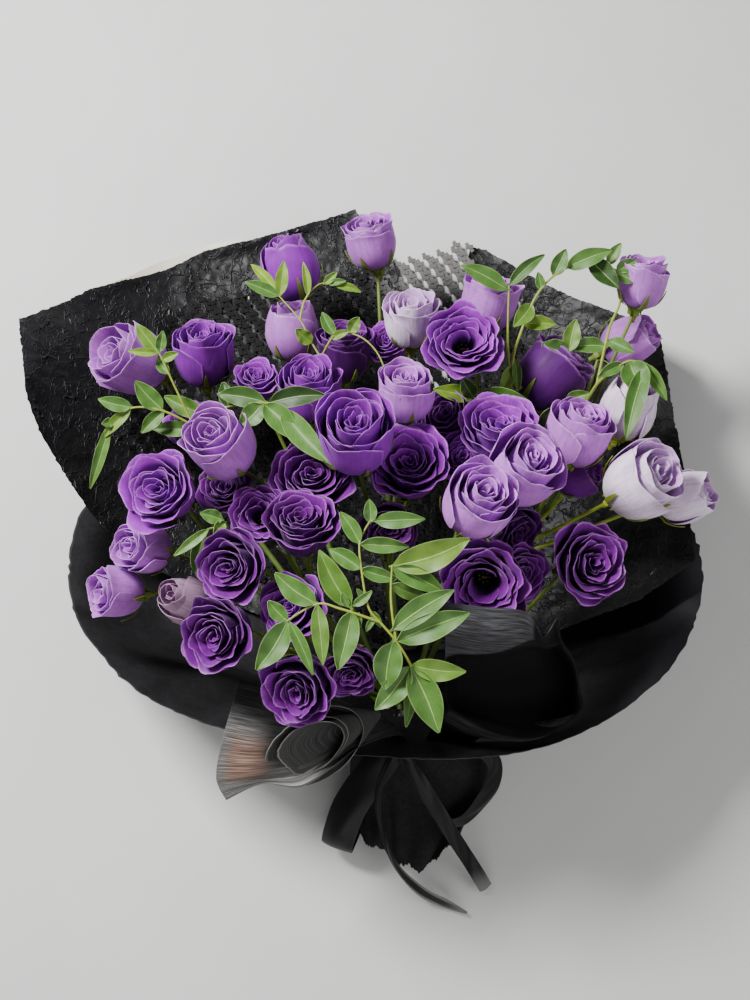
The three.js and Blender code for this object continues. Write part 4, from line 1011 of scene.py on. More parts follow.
FORM_SHAPES = {
    Form.BUD: FormShape(1.0, 10, 0.12, (0.94, 1.0, 0.95), (0.95, 1.22, 0.55), 0.66, (88, 125), 0.03, 0.05),
    Form.CUP: FormShape(0.92, 17, 0.10, (0.9, 1.0, 0.93), (1.0, 1.06, 0.6), 0.93, (74, 112), 0.045, 0.07),
    Form.FULL: FormShape(0.66, 21, 0.10, (0.8, 1.0, 0.9), (0.86, 0.78, 0.72), 1.0, (58, 105), 0.06, 0.07),
    Form.OPEN: FormShape(0.6, 19, 0.36, (0.8, 1.0, 0.86), (0.8, 0.74, 0.7), 1.0, (54, 80), 0.065, 0.07),
}


@dataclass(frozen=True)
class Head:
    """One flower head: where it is, how it is turned and how far it has opened."""

    name: str
    seen: tuple[int, int]
    height: float
    width: float
    tilt: float
    heading: float
    form: Form
    tone: Tone
    group: str

    @property
    def shape(self) -> FormShape:
        """The shape of its form."""
        return FORM_SHAPES[self.form]

    @property
    def half(self) -> float:
        """Half its width, in metres."""
        return self.width * MM / 2

    @property
    def depth(self) -> float:
        """Its depth from foot to rims, in metres."""
        return self.width * MM * self.shape.depth

    @property
    def facing(self) -> Array:
        """The way that it faces.

        Returns:
            A vector of length 1.
        """
        lean, turn = math.radians(self.tilt), math.radians(self.heading)
        sideways = RIGHT * math.cos(turn) + SIGHT.up * math.sin(turn)
        return SIGHT.to_viewer * math.cos(lean) + sideways * math.sin(lean)

    @property
    def foot(self) -> Array:
        """Where it sits on its stem."""
        return SIGHT.seen_at((*self.seen, self.height)) - self.facing * self.depth / 2

    def placed(self, points: Array) -> Array:
        """Carries points from the head's own frame, with +Z the way it faces, to the part's."""
        turn = Vector((0, 0, 1)).rotation_difference(Vector(self.facing)).to_matrix()
        return points @ np.array(turn).T + self.foot


HEADS = [Head(*row[:6], Form(row[6]), Tone[row[7].upper()], row[8]) for row in HEADS_TABLE]


@dataclass
class Bloom:
    """The petals of one head, set on a spiral from the outermost to the innermost.

    Each of the cells rows says up to which rank a petal has so many columns and rows of points.
    """

    head: Head
    cells: tuple[tuple[float, int, int], ...] = ((0.3, 21, 11), (0.65, 17, 10), (1.1, 15, 8))
    within: float = 0.94
    thickness: float = 0.00034
    golden_angle: float = math.radians(137.5)
    most_columns: int = 23

    def profile(self, v: Array) -> tuple[Array, Array]:
        """The outermost petal's line, as a cubic curve from foot to rim.

        Args:
            v: Shares of the way from foot to rim.

        Returns:
            The distance from the axis as a share of half the width, and the height as a share of the rim's.
        """
        shape = self.head.shape
        low, high, middle = shape.belly
        a, b, c, d = (1 - v) ** 3, 3 * (1 - v) ** 2 * v, 3 * (1 - v) * v**2, v**3
        return a * 0.22 + b * low + c * high + d * shape.rim, a * 0.02 + b * 0.04 + c * middle + d

    def petal(self, rank: float, turn: float, hand: float, squeeze: float, draw: Draw) -> Array:
        """Shapes one petal.

        Args:
            rank: 0 for the outermost petal to 1 for the innermost.
            turn: Where it stands round the head.
            hand: 1 or -1, the way that the spiral winds.
            squeeze: How much the heart of the head is pressed flat.
            draw: The source of random numbers.

        Returns:
            Its middle surface in the head's own frame.
        """
        shape, half, depth = self.head.shape, self.head.half * self.within, self.head.depth
        columns, rows = next(cells[1:] for cells in self.cells if rank < cells[0])
        u = np.linspace(-1, 1, columns)[None, :]
        v = np.linspace(0, 1, rows)[:, None] ** 0.85
        # Its size and the height of its rim, both a little uneven.
        size = mix(1.0, shape.innermost, 0.35 * rank + 0.65 * rank**1.25)
        size = max(size * (1 + 0.035 * draw.standard_normal()), 0.8 * shape.innermost)
        outer, middle, inner = shape.rim_height
        rim = mix(outer, middle, rank / 0.4) if rank < 0.4 else mix(middle, inner, (rank - 0.4) / 0.6)
        rim *= 1 + 0.035 * draw.standard_normal()
        # The outline: round corners, a shallow notch in the rim and a ragged last row.
        lean = draw.uniform(-0.08, 0.08)
        corner = np.abs(u - lean) ** draw.uniform(2.6, 3.6)
        reach = v * (1 - (0.13 + 0.12 * draw.random()) * corner)
        notch = 0.02 * hill(u, draw.uniform(-0.5, 0.5), 0.16)
        ragged = 0.005 * draw.standard_normal(self.most_columns)[None, :columns]
        reach = reach - v**6 * notch + (v > 0.99) * ragged
        out, up = self.profile(np.clip(reach, 0, 1.02))
        spread = math.radians(mix(*shape.half_angle, rank**1.2)) * (0.42 + 0.58 * smooth(v / 0.7))
        spread = spread * (1 + 0.08 * draw.standard_normal())
        # Waves and a rolled lip near the rim, smaller on the small petals of the heart.
        first, second, third = draw.uniform(0, TURN, 3)
        along = np.clip(reach, 0, 1)
        near_rim = along**5
        lobes = draw.uniform(1.3, 2.1) * math.pi
        ripple = np.sin(lobes * u + first) + 0.4 * np.sin(2.4 * lobes * u + second)
        ease = 0.3 + 0.7 * size
        lip = smooth((reach - 0.78) / 0.22)
        curl = shape.curl * lip**2 * ease * (1.1 + 0.7 * np.sin(1.4 * math.pi * u + third))
        tucked = 0.11 * u * hand * along**1.5 * ease
        radius = half * (size * out + shape.wave * near_rim * ripple * ease + curl + tucked)
        radius = np.maximum(radius, 0.012 * half)
        sway = 0.6 * shape.wave * near_rim * np.sin(1.2 * lobes * u + third)
        height = depth * (rim * up + sway - 0.45 * shape.curl * lip**3 * ease + 0.08 * rank * (1 - reach))
        angle = turn + hand * spread * u
        flat = 1 - squeeze * (1 - size)
        return points_of(radius * np.cos(angle), radius * np.sin(angle) * flat, height)

    def build(self, draw: Draw) -> Shells:
        """Shapes all its petals.

        Args:
            draw: The source of random numbers.

        Returns:
            The mesh under construction.
        """
        shells = Shells()
        hand = 1.0 if draw.random() < 0.5 else -1.0
        turn, squeeze = draw.uniform(0, TURN), draw.uniform(0.0, 0.45)
        spin = np.array(Matrix.Rotation(draw.uniform(0, math.pi), 3, "Z"))
        tone = draw.random()
        for number in range(self.head.shape.petals):
            rank = number / (self.head.shape.petals - 1)
            grid = self.petal(rank, turn, hand, squeeze, draw) @ spin.T
            if hand < 0:
                grid = grid[:, ::-1]
            chance = float(np.clip(0.6 * tone + 0.4 * draw.random(), 0, 1))
            shells.add(self.head.placed(grid), self.thickness, chance, rank)
            turn += self.golden_angle
        return shells


def head_nodes() -> dict[str, list[Head]]:
    """The heads of each node: one, or those that are pressed together.

    Returns:
        The heads by the node's name.
    """
    nodes: dict[str, list[Head]] = {}
    for head in HEADS:
        nodes.setdefault(f"head_{head.group or head.name}", []).append(head)
    return nodes


@dataclass
class Route:
    """A stem or stalk: its points, its radius at both ends and how young its green is."""

    points: Array
    radii: Pair
    young: float


@cache
def tube_tree() -> Tree:
    """Builds the tree that turns loose edges into closed round stems.

    Returns:
        The tree.
    """
    inputs = {"Geometry": "Geometry", "Sides": 8, "Finish": "Material"}
    weave, given = new_group("Stems along edges", "Geometry", inputs, {"Geometry": "Geometry"})
    curve = weave.add("GeometryNodeMeshToCurve", {"Mesh": given["Geometry"]})
    circle = weave.add("GeometryNodeCurvePrimitiveCircle", {"Resolution": given["Sides"], "Radius": 1.0})
    tube = weave.add("GeometryNodeCurveToMesh", {
        "Curve": curve, "Profile Curve": circle, "Scale": weave.stored("girth", "FLOAT"), "Fill Caps": True,
    })
    return weave.ended(weave.add("GeometryNodeSetShadeSmooth", {0: tube}), given["Finish"])


@cache
def stamen_tree() -> Tree:
    """Builds the tree that sets a ring of stamens and a pistil in the throat of each open head.

    Returns:
        The tree.
    """
    weave, given = new_group(
        "Stamens", "Geometry",
        {"Geometry": "Geometry", "Stamens": 7, "Ring Radius": 0.004, "Height": 0.012, "Anther": 0.0011,
         "Finish": "Material"},
        {"Geometry": "Geometry"},
    )
    top = weave.vector(z=given["Height"])

    def stalk(sides: int, above: float, below: float) -> Node:
        """An upright stalk with its radius above and below."""
        sizes = {"Vertices": sides, "Radius Top": above, "Radius Bottom": below, "Depth": given["Height"]}
        return weave.add("GeometryNodeMeshCone", sizes)

    def tip(radius: object, stretch: tuple[float, float, float]) -> Node:
        """A rounded body at the top of a stalk."""
        ball = weave.add("GeometryNodeMeshIcoSphere", {"Radius": radius, "Subdivisions": 2})
        return weave.add("GeometryNodeTransform", {"Geometry": ball, "Translation": top, "Scale": stretch})

    ring = weave.add("GeometryNodeMeshCircle", {"Vertices": given["Stamens"], "Radius": given["Ring Radius"]})
    stamen = weave.joined(stalk(6, 0.0003, 0.0005), tip(given["Anther"], (1.0, 1.0, 1.7)))
    stamens = weave.add("GeometryNodeInstanceOnPoints", {"Points": ring, "Instance": stamen})
    heart = weave.joined(stamens, stalk(10, 0.0009, 0.0022), tip(0.0019, (1.5, 0.8, 0.7)))
    facing = weave.add("FunctionNodeAlignRotationToVector",
                       {"Vector": weave.stored("facing", "FLOAT_VECTOR")}, axis="Z")
    hearts = weave.add("GeometryNodeInstanceOnPoints",
                       {"Points": given["Geometry"], "Instance": heart, "Rotation": facing})
    return weave.ended(weave.add("GeometryNodeSetShadeSmooth", {0: hearts}), given["Finish"])


def grown(piece: Piece, tree: Tree, values: dict) -> Piece:
    """Runs a geometry tree on a piece and keeps the result as its plain mesh.

    Args:
        piece: The piece, with the points or edges that the tree reads.
        tree: The tree.
        values: The tree's inputs, by name.

    Returns:
        The piece.
    """
    modifier = piece.modifiers.new(tree.name, "NODES")
    modifier.node_group = tree
    for item in tree.interface.items_tree:
        if item.in_out == "INPUT" and item.name in values:
            modifier[item.identifier] = values[item.name]
    evaluated = piece.evaluated_get(bpy.context.evaluated_depsgraph_get())
    mesh = bpy.data.meshes.new_from_object(evaluated)
    piece.modifiers.clear()
    piece.data = mesh
    return piece


def joined(pieces: list[Piece]) -> Piece:
    """Joins pieces into the first one's object.

    Args:
        pieces: The pieces.

    Returns:
        The first one.
    """
    first = pieces[0]
    with bpy.context.temp_override(active_object=first, object=first, selected_editable_objects=pieces,
                                   selected_objects=pieces):
        bpy.ops.object.join()
    return first


def tubes(name: str, routes: list[Route], slot: str) -> Piece:
    """Makes stems along routes.

    Args:
        name: The piece's name.
        routes: The stems.
        slot: The record's material slot.

    Returns:
        The stems as one piece.
    """
    edges, girth, young = [], [], []
    for route in routes:
        start, count = len(girth), len(route.points)
        edges += [(start + k, start + k + 1) for k in range(count - 1)]
        girth += list(np.linspace(*route.radii, count))
        young += [route.young] * count
    mesh = bpy.data.meshes.new(name)
    mesh.from_pydata(np.concatenate([route.points for route in routes]).tolist(), edges, [])
    mark(mesh, "girth", girth)
    mark(mesh, "young", young)
    return grown(place(name, mesh, slot), tube_tree(), {"Finish": STEM_GREEN.material()})


@dataclass
class Tie:
    """The neck of the wrap, where stems and paper are bound."""

    centre: Array = field(default_factory=lambda: np.array([20.0, -170.0, 32.0]) * MM)
    neck_radius: float = 27 * MM
    neck_length: float = 24 * MM

    def ring(self, turn: Array, y: Array, further: float = 0.0) -> Array:
        """Points round the neck.

        Args:
            turn: The angles, from picture-right upwards.
            y: Where along the neck.
            further: How far outside the neck.

        Returns:
            The points.
        """
        radius = self.neck_radius + further
        return points_of(self.centre[0] + radius * np.cos(turn), y, self.centre[2] + radius * np.sin(turn))


TIE = Tie()


def bent_clear(start: Array, end: Array, own: Head | None = None) -> Array:
    """A route between two points, bent clear of every head but its own and of the papers.

    Args:
        start: Where it starts.
        end: Where it ends.
        own: The head that it carries, if any.

    Returns:
        The route's points.
    """
    head_clearance, paper_clearance, drop, rounds = 6 * MM, 14 * MM, 3 * MM, 120
    route = np.linspace(start, end, 9 if own else 6)
    others = [head for head in HEADS if head is not own]
    middles = np.array([head.foot + head.facing * head.depth / 2 for head in others])
    reaches = np.array([head.half + head_clearance for head in others])
    for _ in range(rounds):
        for k in range(1, len(route) - 1):
            route[k] = mix(route[k], (route[k - 1] + route[k + 1]) / 2, 0.3)
            for index in np.nonzero(np.linalg.norm(route[k] - middles, axis=1) < reaches)[0]:
                away = route[k] - middles[index]
                if np.linalg.norm(away) < reaches[index]:
                    away[2] -= drop
                    route[k] = middles[index] + unit(away) * reaches[index]
            route[k, 2] = max(route[k, 2], bowl_height(route[k, 0], route[k, 1]) + paper_clearance)
    return route


@dataclass
class Stems:
    """All flower stems with their calyxes: from the cut ends through the tie to every head."""

    main_radius: float = 2.5 * MM
    branch_radius: float = 1.5 * MM
    cut_end: float = 52 * MM
    calyx_length: float = 13 * MM
    calyx_end: float = 4 * MM
    cup_thickness: float = 0.0008
    sepals: int = 5
    sepal_thickness: float = 0.0006
    sepal_half_width: float = 0.0034
    off_petals: float = 0.0009
    bright: tuple[str, ...] = ("right_white", "far_right", "right_pale", "right_cup")

    def calyx(self, head: Head, shells: Shells, draw: Draw) -> None:
        """Adds the swollen end of a stem and the sepals that hold a head.

        Args:
            head: The head.
            shells: The mesh under construction.
            draw: The source of random numbers.
        """
        length, end = self.calyx_length, self.calyx_end
        turn = np.linspace(0, TURN, 10, endpoint=False)
        height = np.linspace(-length, end, 6)[:, None]
        grow = smooth((height + length) / (length + end))
        radius = mix(self.branch_radius * 1.1, 0.22 * head.half + 0.0012, grow)
        cup = points_of(radius * np.cos(turn), radius * np.sin(turn), height)
        shells.add(head.placed(cup), self.cup_thickness, 0.5, closed=True)
        bloom = Bloom(head)
        first = draw.uniform(0, TURN)
        share = np.linspace(0, 1, 8)[:, None]
        across = np.linspace(-1, 1, 3)[None, :]
        out, up = bloom.profile(np.clip(share * 0.62, 0, 1))
        lift = share * head.depth * 0.44 - length * 0.45 * (1 - share)
        against = head.half * bloom.within * np.interp(lift, (up * head.depth * 0.92).ravel(), out.ravel())
        half_width = self.sepal_half_width * (1 - share) ** 0.8 * (0.6 + 0.9 * share) + 0.0003
        for number in range(self.sepals):
            radius = against + self.off_petals + 0.0012 * draw.random() * share**2
            angle = first + number * TURN / self.sepals + across * half_width / np.maximum(radius, 0.002)
            grid = points_of(radius * np.cos(angle), radius * np.sin(angle), lift)
            shells.add(head.placed(grid), self.sepal_thickness, 0.5)

    def routes(self) -> list[Route]:
        """The routes of the main stems and of each head's branch.

        Returns:
            The routes, the main stems first.
        """
        routes, forks = [], []
        for seen, (across, up) in FORKS.values():
            x = TIE.centre[0] + across * MM
            through = np.array([x, TIE.centre[1], TIE.centre[2] - 0.9 * up * MM])
            beyond = np.array([x, TIE.centre[1] + 20 * MM, TIE.centre[2] - 0.8 * up * MM])
            end = TIE.centre + np.array([0.9 * across * MM, -self.cut_end, (-6 - 0.4 * up) * MM])
            top = SIGHT.seen_at(seen)
            forks.append({"beyond": beyond, "top": top, "carried": 0})
            line = np.vstack([end, through, bent_clear(beyond, top)])
            routes.append(Route(spline(line, 34), (self.main_radius, self.main_radius * 0.9), 0.1))
        for head in HEADS:
            below = head.foot - head.facing * 20 * MM
            nearest = min(forks, key=lambda fork: np.linalg.norm(fork["top"] - below))
            nearest["carried"] += 1
            start = mix(nearest["top"], nearest["beyond"], 0.01 + 0.05 * nearest["carried"])
            line = bent_clear(start, head.foot - head.facing * 3.5 * MM, head)
            young = 0.9 if head.name in self.bright else 0.25
            routes.append(Route(spline(line, 30), (self.branch_radius * 1.1, self.branch_radius), young))
        return routes

    def build(self) -> Piece:
        """Makes the stems as one piece.

        Returns:
            The piece.
        """
        draw = np.random.default_rng(SEED + 7)
        shells = Shells()
        for head in HEADS:
            self.calyx(head, shells, draw)
        mesh = shells.mesh("calyxes")
        bright = [0.9 if head.name in self.bright else 0.35 for head in HEADS]
        mark(mesh, "young", np.repeat(bright, shells.total // len(HEADS)))
        calyxes = place("calyxes", mesh, "stem_green", STEM_GREEN.material())
        return joined([tubes("stems", self.routes(), "stem_green"), calyxes])


@dataclass
class Spray:
    """One leafy vine spray: stalks from its fork, and leaves on short feet."""

    name: str
    radius: float
    root: str
    age: Pair
    stalks: list
    leaves: list
    leaf_thickness: float = 0.0004
    leaf_rows: int = 19
    leaf_columns: int = 9

    def leaf(self, row: list, draw: Draw) -> Array:
        """Shapes one leaf.

        Args:
            row: Its foot, tip, heights and width, as in the table.
            draw: The source of random numbers.

        Returns:
            Its middle surface, with columns from edge to edge and rows from foot to tip.
        """
        foot, tip = SIGHT.seen_at((row[0], row[1], row[4])), SIGHT.seen_at((row[2], row[3], row[5]))
        width = row[6] * MM
        along = tip - foot
        length = np.linalg.norm(along)
        side = unit(np.cross(along, SIGHT.to_viewer))
        face = unit(np.cross(side, along))
        s = np.linspace(-0.04, 1, self.leaf_rows)[:, None]
        a = np.linspace(-1, 1, self.leaf_columns)[None, :]
        inside = np.clip(s, 0, 1)
        # The outline is widest, with a value of 1, at a share of 0.438 of the length.
        outline = inside**0.78 * (1 - inside) / (0.438**0.78 * 0.562)
        half = width / 2 * (outline * smooth((s + 0.02) / 0.14) + 0.03) + 0.0003
        sway, droop, phase = draw.uniform(-0.05, 0.05), draw.uniform(0.0, 0.07), draw.uniform(0, 6.28)
        fold = draw.uniform(0.34, 0.68)
        arch = length * (0.06 * np.sin(math.pi * inside) - droop * inside**3)
        wavy = 0.05 * width * np.sin(5 * math.pi * s + phase) * a**2
        lift = arch + half * (fold * (np.abs(a) ** 1.3 - 0.75)) + wavy
        bend = length * sway * np.sin(math.pi * inside)
        return foot + along * s[..., None] + side * (a * half + bend)[..., None] + face * lift[..., None]

    def build(self) -> Piece:
        """Makes the spray as one piece.

        Returns:
            The piece.
        """
        draw = np.random.default_rng(SEED + 40 + len(self.name) * 7)
        shells = Shells()
        for row in self.leaves:
            shells.add(self.leaf(row, draw), self.leaf_thickness, draw.uniform(*self.age))
        radius = self.radius * MM
        fork = SIGHT.seen_at(FORKS[self.root][0])
        first = SIGHT.seen_at(self.stalks[0][0])
        routes = [Route(spline(bent_clear(fork, first), 16), (radius, radius), 0.4)]
        for stalk in self.stalks:
            line = spline(SIGHT.seen_at(np.array(stalk, float)), 6 * len(stalk))
            routes.append(Route(line, (radius, radius * 0.6), 0.8))
        title = f"{self.name}_leaves"
        leaves = place(title, shells.mesh(title), "leaf_green", LEAF_GREEN.material())
        return joined([tubes(self.name, routes, "leaf_green"), leaves])


@dataclass
class Ripples:
    """A soft random field made of plane waves, with values mostly from -1 to 1."""

    wavelength: float
    seed: int
    waves: int = 9

    def at(self, x: Array, y: Array) -> Array:
        """The field's values at places in metres.

        Args:
            x: Coordinates of the places.
            y: Their other coordinates.

        Returns:
            One value for each place.
        """
        draw = np.random.default_rng(self.seed)
        total = 0.0
        for _ in range(self.waves):
            angle, phase = draw.uniform(0, TURN, 2)
            length = self.wavelength * draw.uniform(0.65, 1.6)
            total = total + np.sin(TURN * (x * math.cos(angle) + y * math.sin(angle)) / length + phase)
        return total / math.sqrt(self.waves)


# The bowl in millimetres, at the tie and where the wrap has opened: where its middle is, how far
# its flat reaches to each side, and the radius of its rise beyond.
BOWL_MIDDLE = (20, 0)
BOWL_FLAT = (20, 112)
BOWL_RADIUS = (34, 108)
# Where it starts to open and over which length, and how much its flat widens by which place.
BOWL_OPENING = (-170, 140)
BOWL_WIDENING = (30, 250)


def bowl_height(x: Array, y: Array) -> Array:
    """Height of the wrap's back over the table: flat in the middle, rising to both sides.

    Args:
        x: Where across, in metres.
        y: Where along, in metres.

    Returns:
        The heights, in metres.
    """
    x, y = np.asarray(x) / MM, np.asarray(y) / MM
    start, run = BOWL_OPENING
    opened = smooth((y - start) / run)
    wider, top = BOWL_WIDENING
    half = mix(*BOWL_FLAT, opened) + wider * np.clip(y / top, 0, 1)
    beyond = np.maximum(0, np.abs(x - mix(*BOWL_MIDDLE, opened)) - half)
    return beyond**2 / (2 * mix(*BOWL_RADIUS, opened)) * MM


def outside_height(x: Array, y: Array) -> Array:
    """Height of the outer wrap where it lies against the outside of the bowl."""
    return bowl_height(np.sign(x) * np.maximum(0, np.abs(x) - 26 * MM), y + 22 * MM) + 0.8 * MM


def resting(pixels: Array, height_at: Callable[[Array, Array], Array], guess: float = 0.0) -> Array:
    """Finds the points of a surface that show at pixels of the picture.

    Args:
        pixels: Rows that start with across and down.
        height_at: The surface's height over places in plan.
        guess: The height to start from.

    Returns:
        The points, in metres.
    """
    pixels = np.asarray(pixels, float)[:, :2]
    heights = np.full((len(pixels), 1), guess / MM)
    for _ in range(14):
        points = SIGHT.seen_at(np.hstack([pixels, heights]))
        heights = mix(heights, height_at(points[:, 0], points[:, 1])[:, None] / MM, 0.6)
    return SIGHT.seen_at(np.hstack([pixels, heights]))


def along_outline(corners: Array, spacing: float, jitter: float, draw: Draw) -> Array:
    """Points along a closed outline of straight runs, set off it a little as torn edges are.

    Args:
        corners: The outline's corners.
        spacing: The distance between points.
        jitter: How far they are set off it.
        draw: The source of random numbers.

    Returns:
        The points.
    """
    points = []
    for start, end in zip(corners, np.roll(corners, -1, axis=0)):
        count = max(2, int(np.linalg.norm(end - start) / spacing))
        points.append(mix(start, end, np.linspace(0, 1, count, endpoint=False)[:, None]))
    points = np.concatenate(points)
    return points + draw.normal(0, jitter, points.shape)


def distance_to(outline: Array, points: Array) -> Array:
    """The distance of points from a closed outline.

    Args:
        outline: The outline's corners.
        points: The points.

    Returns:
        One distance for each point, negative outside the outline.
    """
    nearest = np.full(len(points), np.inf)
    inside = np.zeros(len(points), bool)
    for start, end in zip(outline, np.roll(outline, -1, axis=0)):
        run = end - start
        share = np.clip(((points - start) @ run) / max(run @ run, 1e-12), 0, 1)
        nearest = np.minimum(nearest, np.linalg.norm(points - start - share[:, None] * run, axis=1))
        spans = (start[1] > points[:, 1]) != (end[1] > points[:, 1])
        cross = start[0] + (points[:, 1] - start[1]) / (run[1] if run[1] else 1e-12) * run[0]
        inside ^= spans & (points[:, 0] < cross)
    return np.where(inside, nearest, -nearest)


@dataclass
class BowlSheet:
    """A sheet that lies in the bowl of the wrap, cut to an outline read from the picture."""

    name: str
    slot: str
    level: int
    outline: tuple
    spacing: float = 0.0036
    thickness: float = 0.0004
    wrinkle: float = 0.0011
    relief: float = 0.0
    curl: float = 0.004
    curl_reach: float = 0.016
    seed: int = 1

    @property
    def lift(self) -> float:
        """Its height over the table where the bowl is flat."""
        return (3.6 + 1.5 * self.level) * MM

    def rests_at(self, x: Array, y: Array) -> Array:
        """Its height over the table, without its wrinkles."""
        return bowl_height(x, y) + self.lift

    def surface(self, places: Array, rim: Array) -> Array:
        """Its middle surface.

        Args:
            places: Where, in plan.
            rim: The distance of each place from the sheet's edge.

        Returns:
            The points.
        """
        x, y = places.T
        broad = Ripples(0.085, self.seed).at(x, y)
        creased = 1 - np.abs(Ripples(0.034, self.seed + 1).at(x, y))
        fine = 1 - np.abs(Ripples(0.013, self.seed + 2).at(x, y))
        drift = Ripples(0.03, self.seed + 4).at(x, y) * 0.004
        worms = hill(Ripples(0.017, self.seed + 5).at(x + drift, y - drift), 0, 0.34)
        height = self.wrinkle * (0.8 * broad + 0.9 * creased + 0.35 * fine + self.relief * worms)
        uneven = 0.6 + 0.8 * Ripples(0.07, self.seed + 3).at(x, y)
        turned = self.curl * smooth(1 - rim / self.curl_reach) ** 2 * uneven
        return np.column_stack([x, y, self.rests_at(x, y) + height + turned])

    def triangles(self) -> tuple[Array, Array, Array]:
        """Covers the sheet with even triangles.

        Returns:
            The points in plan, their distances from the edge, and each triangle's point numbers.
        """
        draw = np.random.default_rng(SEED + self.seed)
        corners = resting(self.outline, self.rests_at, self.lift)[:, :2]
        outline = along_outline(corners, self.spacing * 0.8, 0.0003, draw)
        low, high = outline.min(axis=0), outline.max(axis=0)
        rows = np.arange(low[1], high[1], self.spacing * 0.87)
        x, y = np.meshgrid(np.arange(low[0], high[0], self.spacing), rows)
        x = x + (np.arange(len(rows)) % 2)[:, None] * self.spacing / 2
        inner = np.column_stack([x.ravel(), y.ravel()])
        inner = inner[distance_to(outline, inner) > 0.55 * self.spacing]
        count = len(outline)
        edges = [(k, (k + 1) % count) for k in range(count)]
        given = [Vector(point) for point in np.vstack([outline, inner])]
        points, _, faces = delaunay_2d_cdt(given, edges, [], 1, 1e-7)[:3]
        points, faces = np.array(points), np.array(faces)
        a, b, c = (points[faces[:, k]] for k in range(3))
        turn = (b[:, 0] - a[:, 0]) * (c[:, 1] - a[:, 1]) - (b[:, 1] - a[:, 1]) * (c[:, 0] - a[:, 0])
        faces = np.where((turn < 0)[:, None], faces[:, ::-1], faces)[np.abs(turn) > 1e-12]
        return points, np.maximum(distance_to(outline, points), 0), faces

    def build(self, finish: Material | None = None) -> Piece:
        """Makes the sheet as a thin closed shell.

        Args:
            finish: Its material, if it shows itself.

        Returns:
            The piece, with the attribute rim: each point's distance from the edge.
        """
        places, rim, faces = self.triangles()
        top = self.surface(places, rim)
        bottom = top - ABOVE * self.thickness
        order = {}
        for a, b in np.concatenate([faces[:, [0, 1]], faces[:, [1, 2]], faces[:, [2, 0]]]).tolist():
            if (b, a) in order:
                del order[(b, a)]
            else:
                order[(a, b)] = True
        count = len(places)
        walls = [(a, a + count, b + count, b) for a, b in order]
        mesh = bpy.data.meshes.new(self.name)
        mesh.from_pydata(np.vstack([top, bottom]).tolist(), [],
                         faces.tolist() + (faces[:, ::-1] + count).tolist() + walls)
        mark(mesh, "rim", np.tile(rim, 2))
        return place(self.name, smoothed(mesh, 60), self.slot, finish)


BOWL_SHEETS = {
    "backing": BowlSheet("backing", "backing_paper", 0, (
        (96, 300), (112, 283), (160, 262), (214, 243), (246, 239), (262, 300), (150, 340),
    ), wrinkle=0.0004, curl=0.0, seed=31, spacing=0.006),
    "back_sheet_right": BowlSheet("back_sheet_right", "embossed_paper", 0, (
        (470, 246), (486, 250), (520, 272), (585, 303), (655, 325), (668, 380), (682, 470), (696, 560),
        (640, 600), (560, 630), (480, 650), (425, 650), (430, 500), (455, 350),
    ), wrinkle=0.0014, relief=0.75, seed=41, spacing=0.0025),
    "back_sheet_left": BowlSheet("back_sheet_left", "embossed_paper", 1, (
        (19, 319), (90, 290), (200, 254), (290, 232), (355, 210), (372, 236), (392, 262), (430, 400),
        (440, 600), (415, 650), (350, 648), (270, 620), (200, 590), (128, 556), (90, 512), (62, 470),
        (38, 428), (27, 395),
    ), wrinkle=0.0012, relief=0.75, seed=51, spacing=0.0025),
    "mesh_lining": BowlSheet("mesh_lining", "lattice_mesh", 2, (
        (165, 322), (200, 300), (300, 286), (384, 268), (432, 256), (467, 238), (476, 262), (515, 330),
        (545, 400), (555, 480), (520, 580), (440, 640), (385, 642), (310, 612), (225, 560), (140, 480),
        (124, 430),
    ), wrinkle=0.0008, curl=0.0, seed=61, spacing=0.007),
}


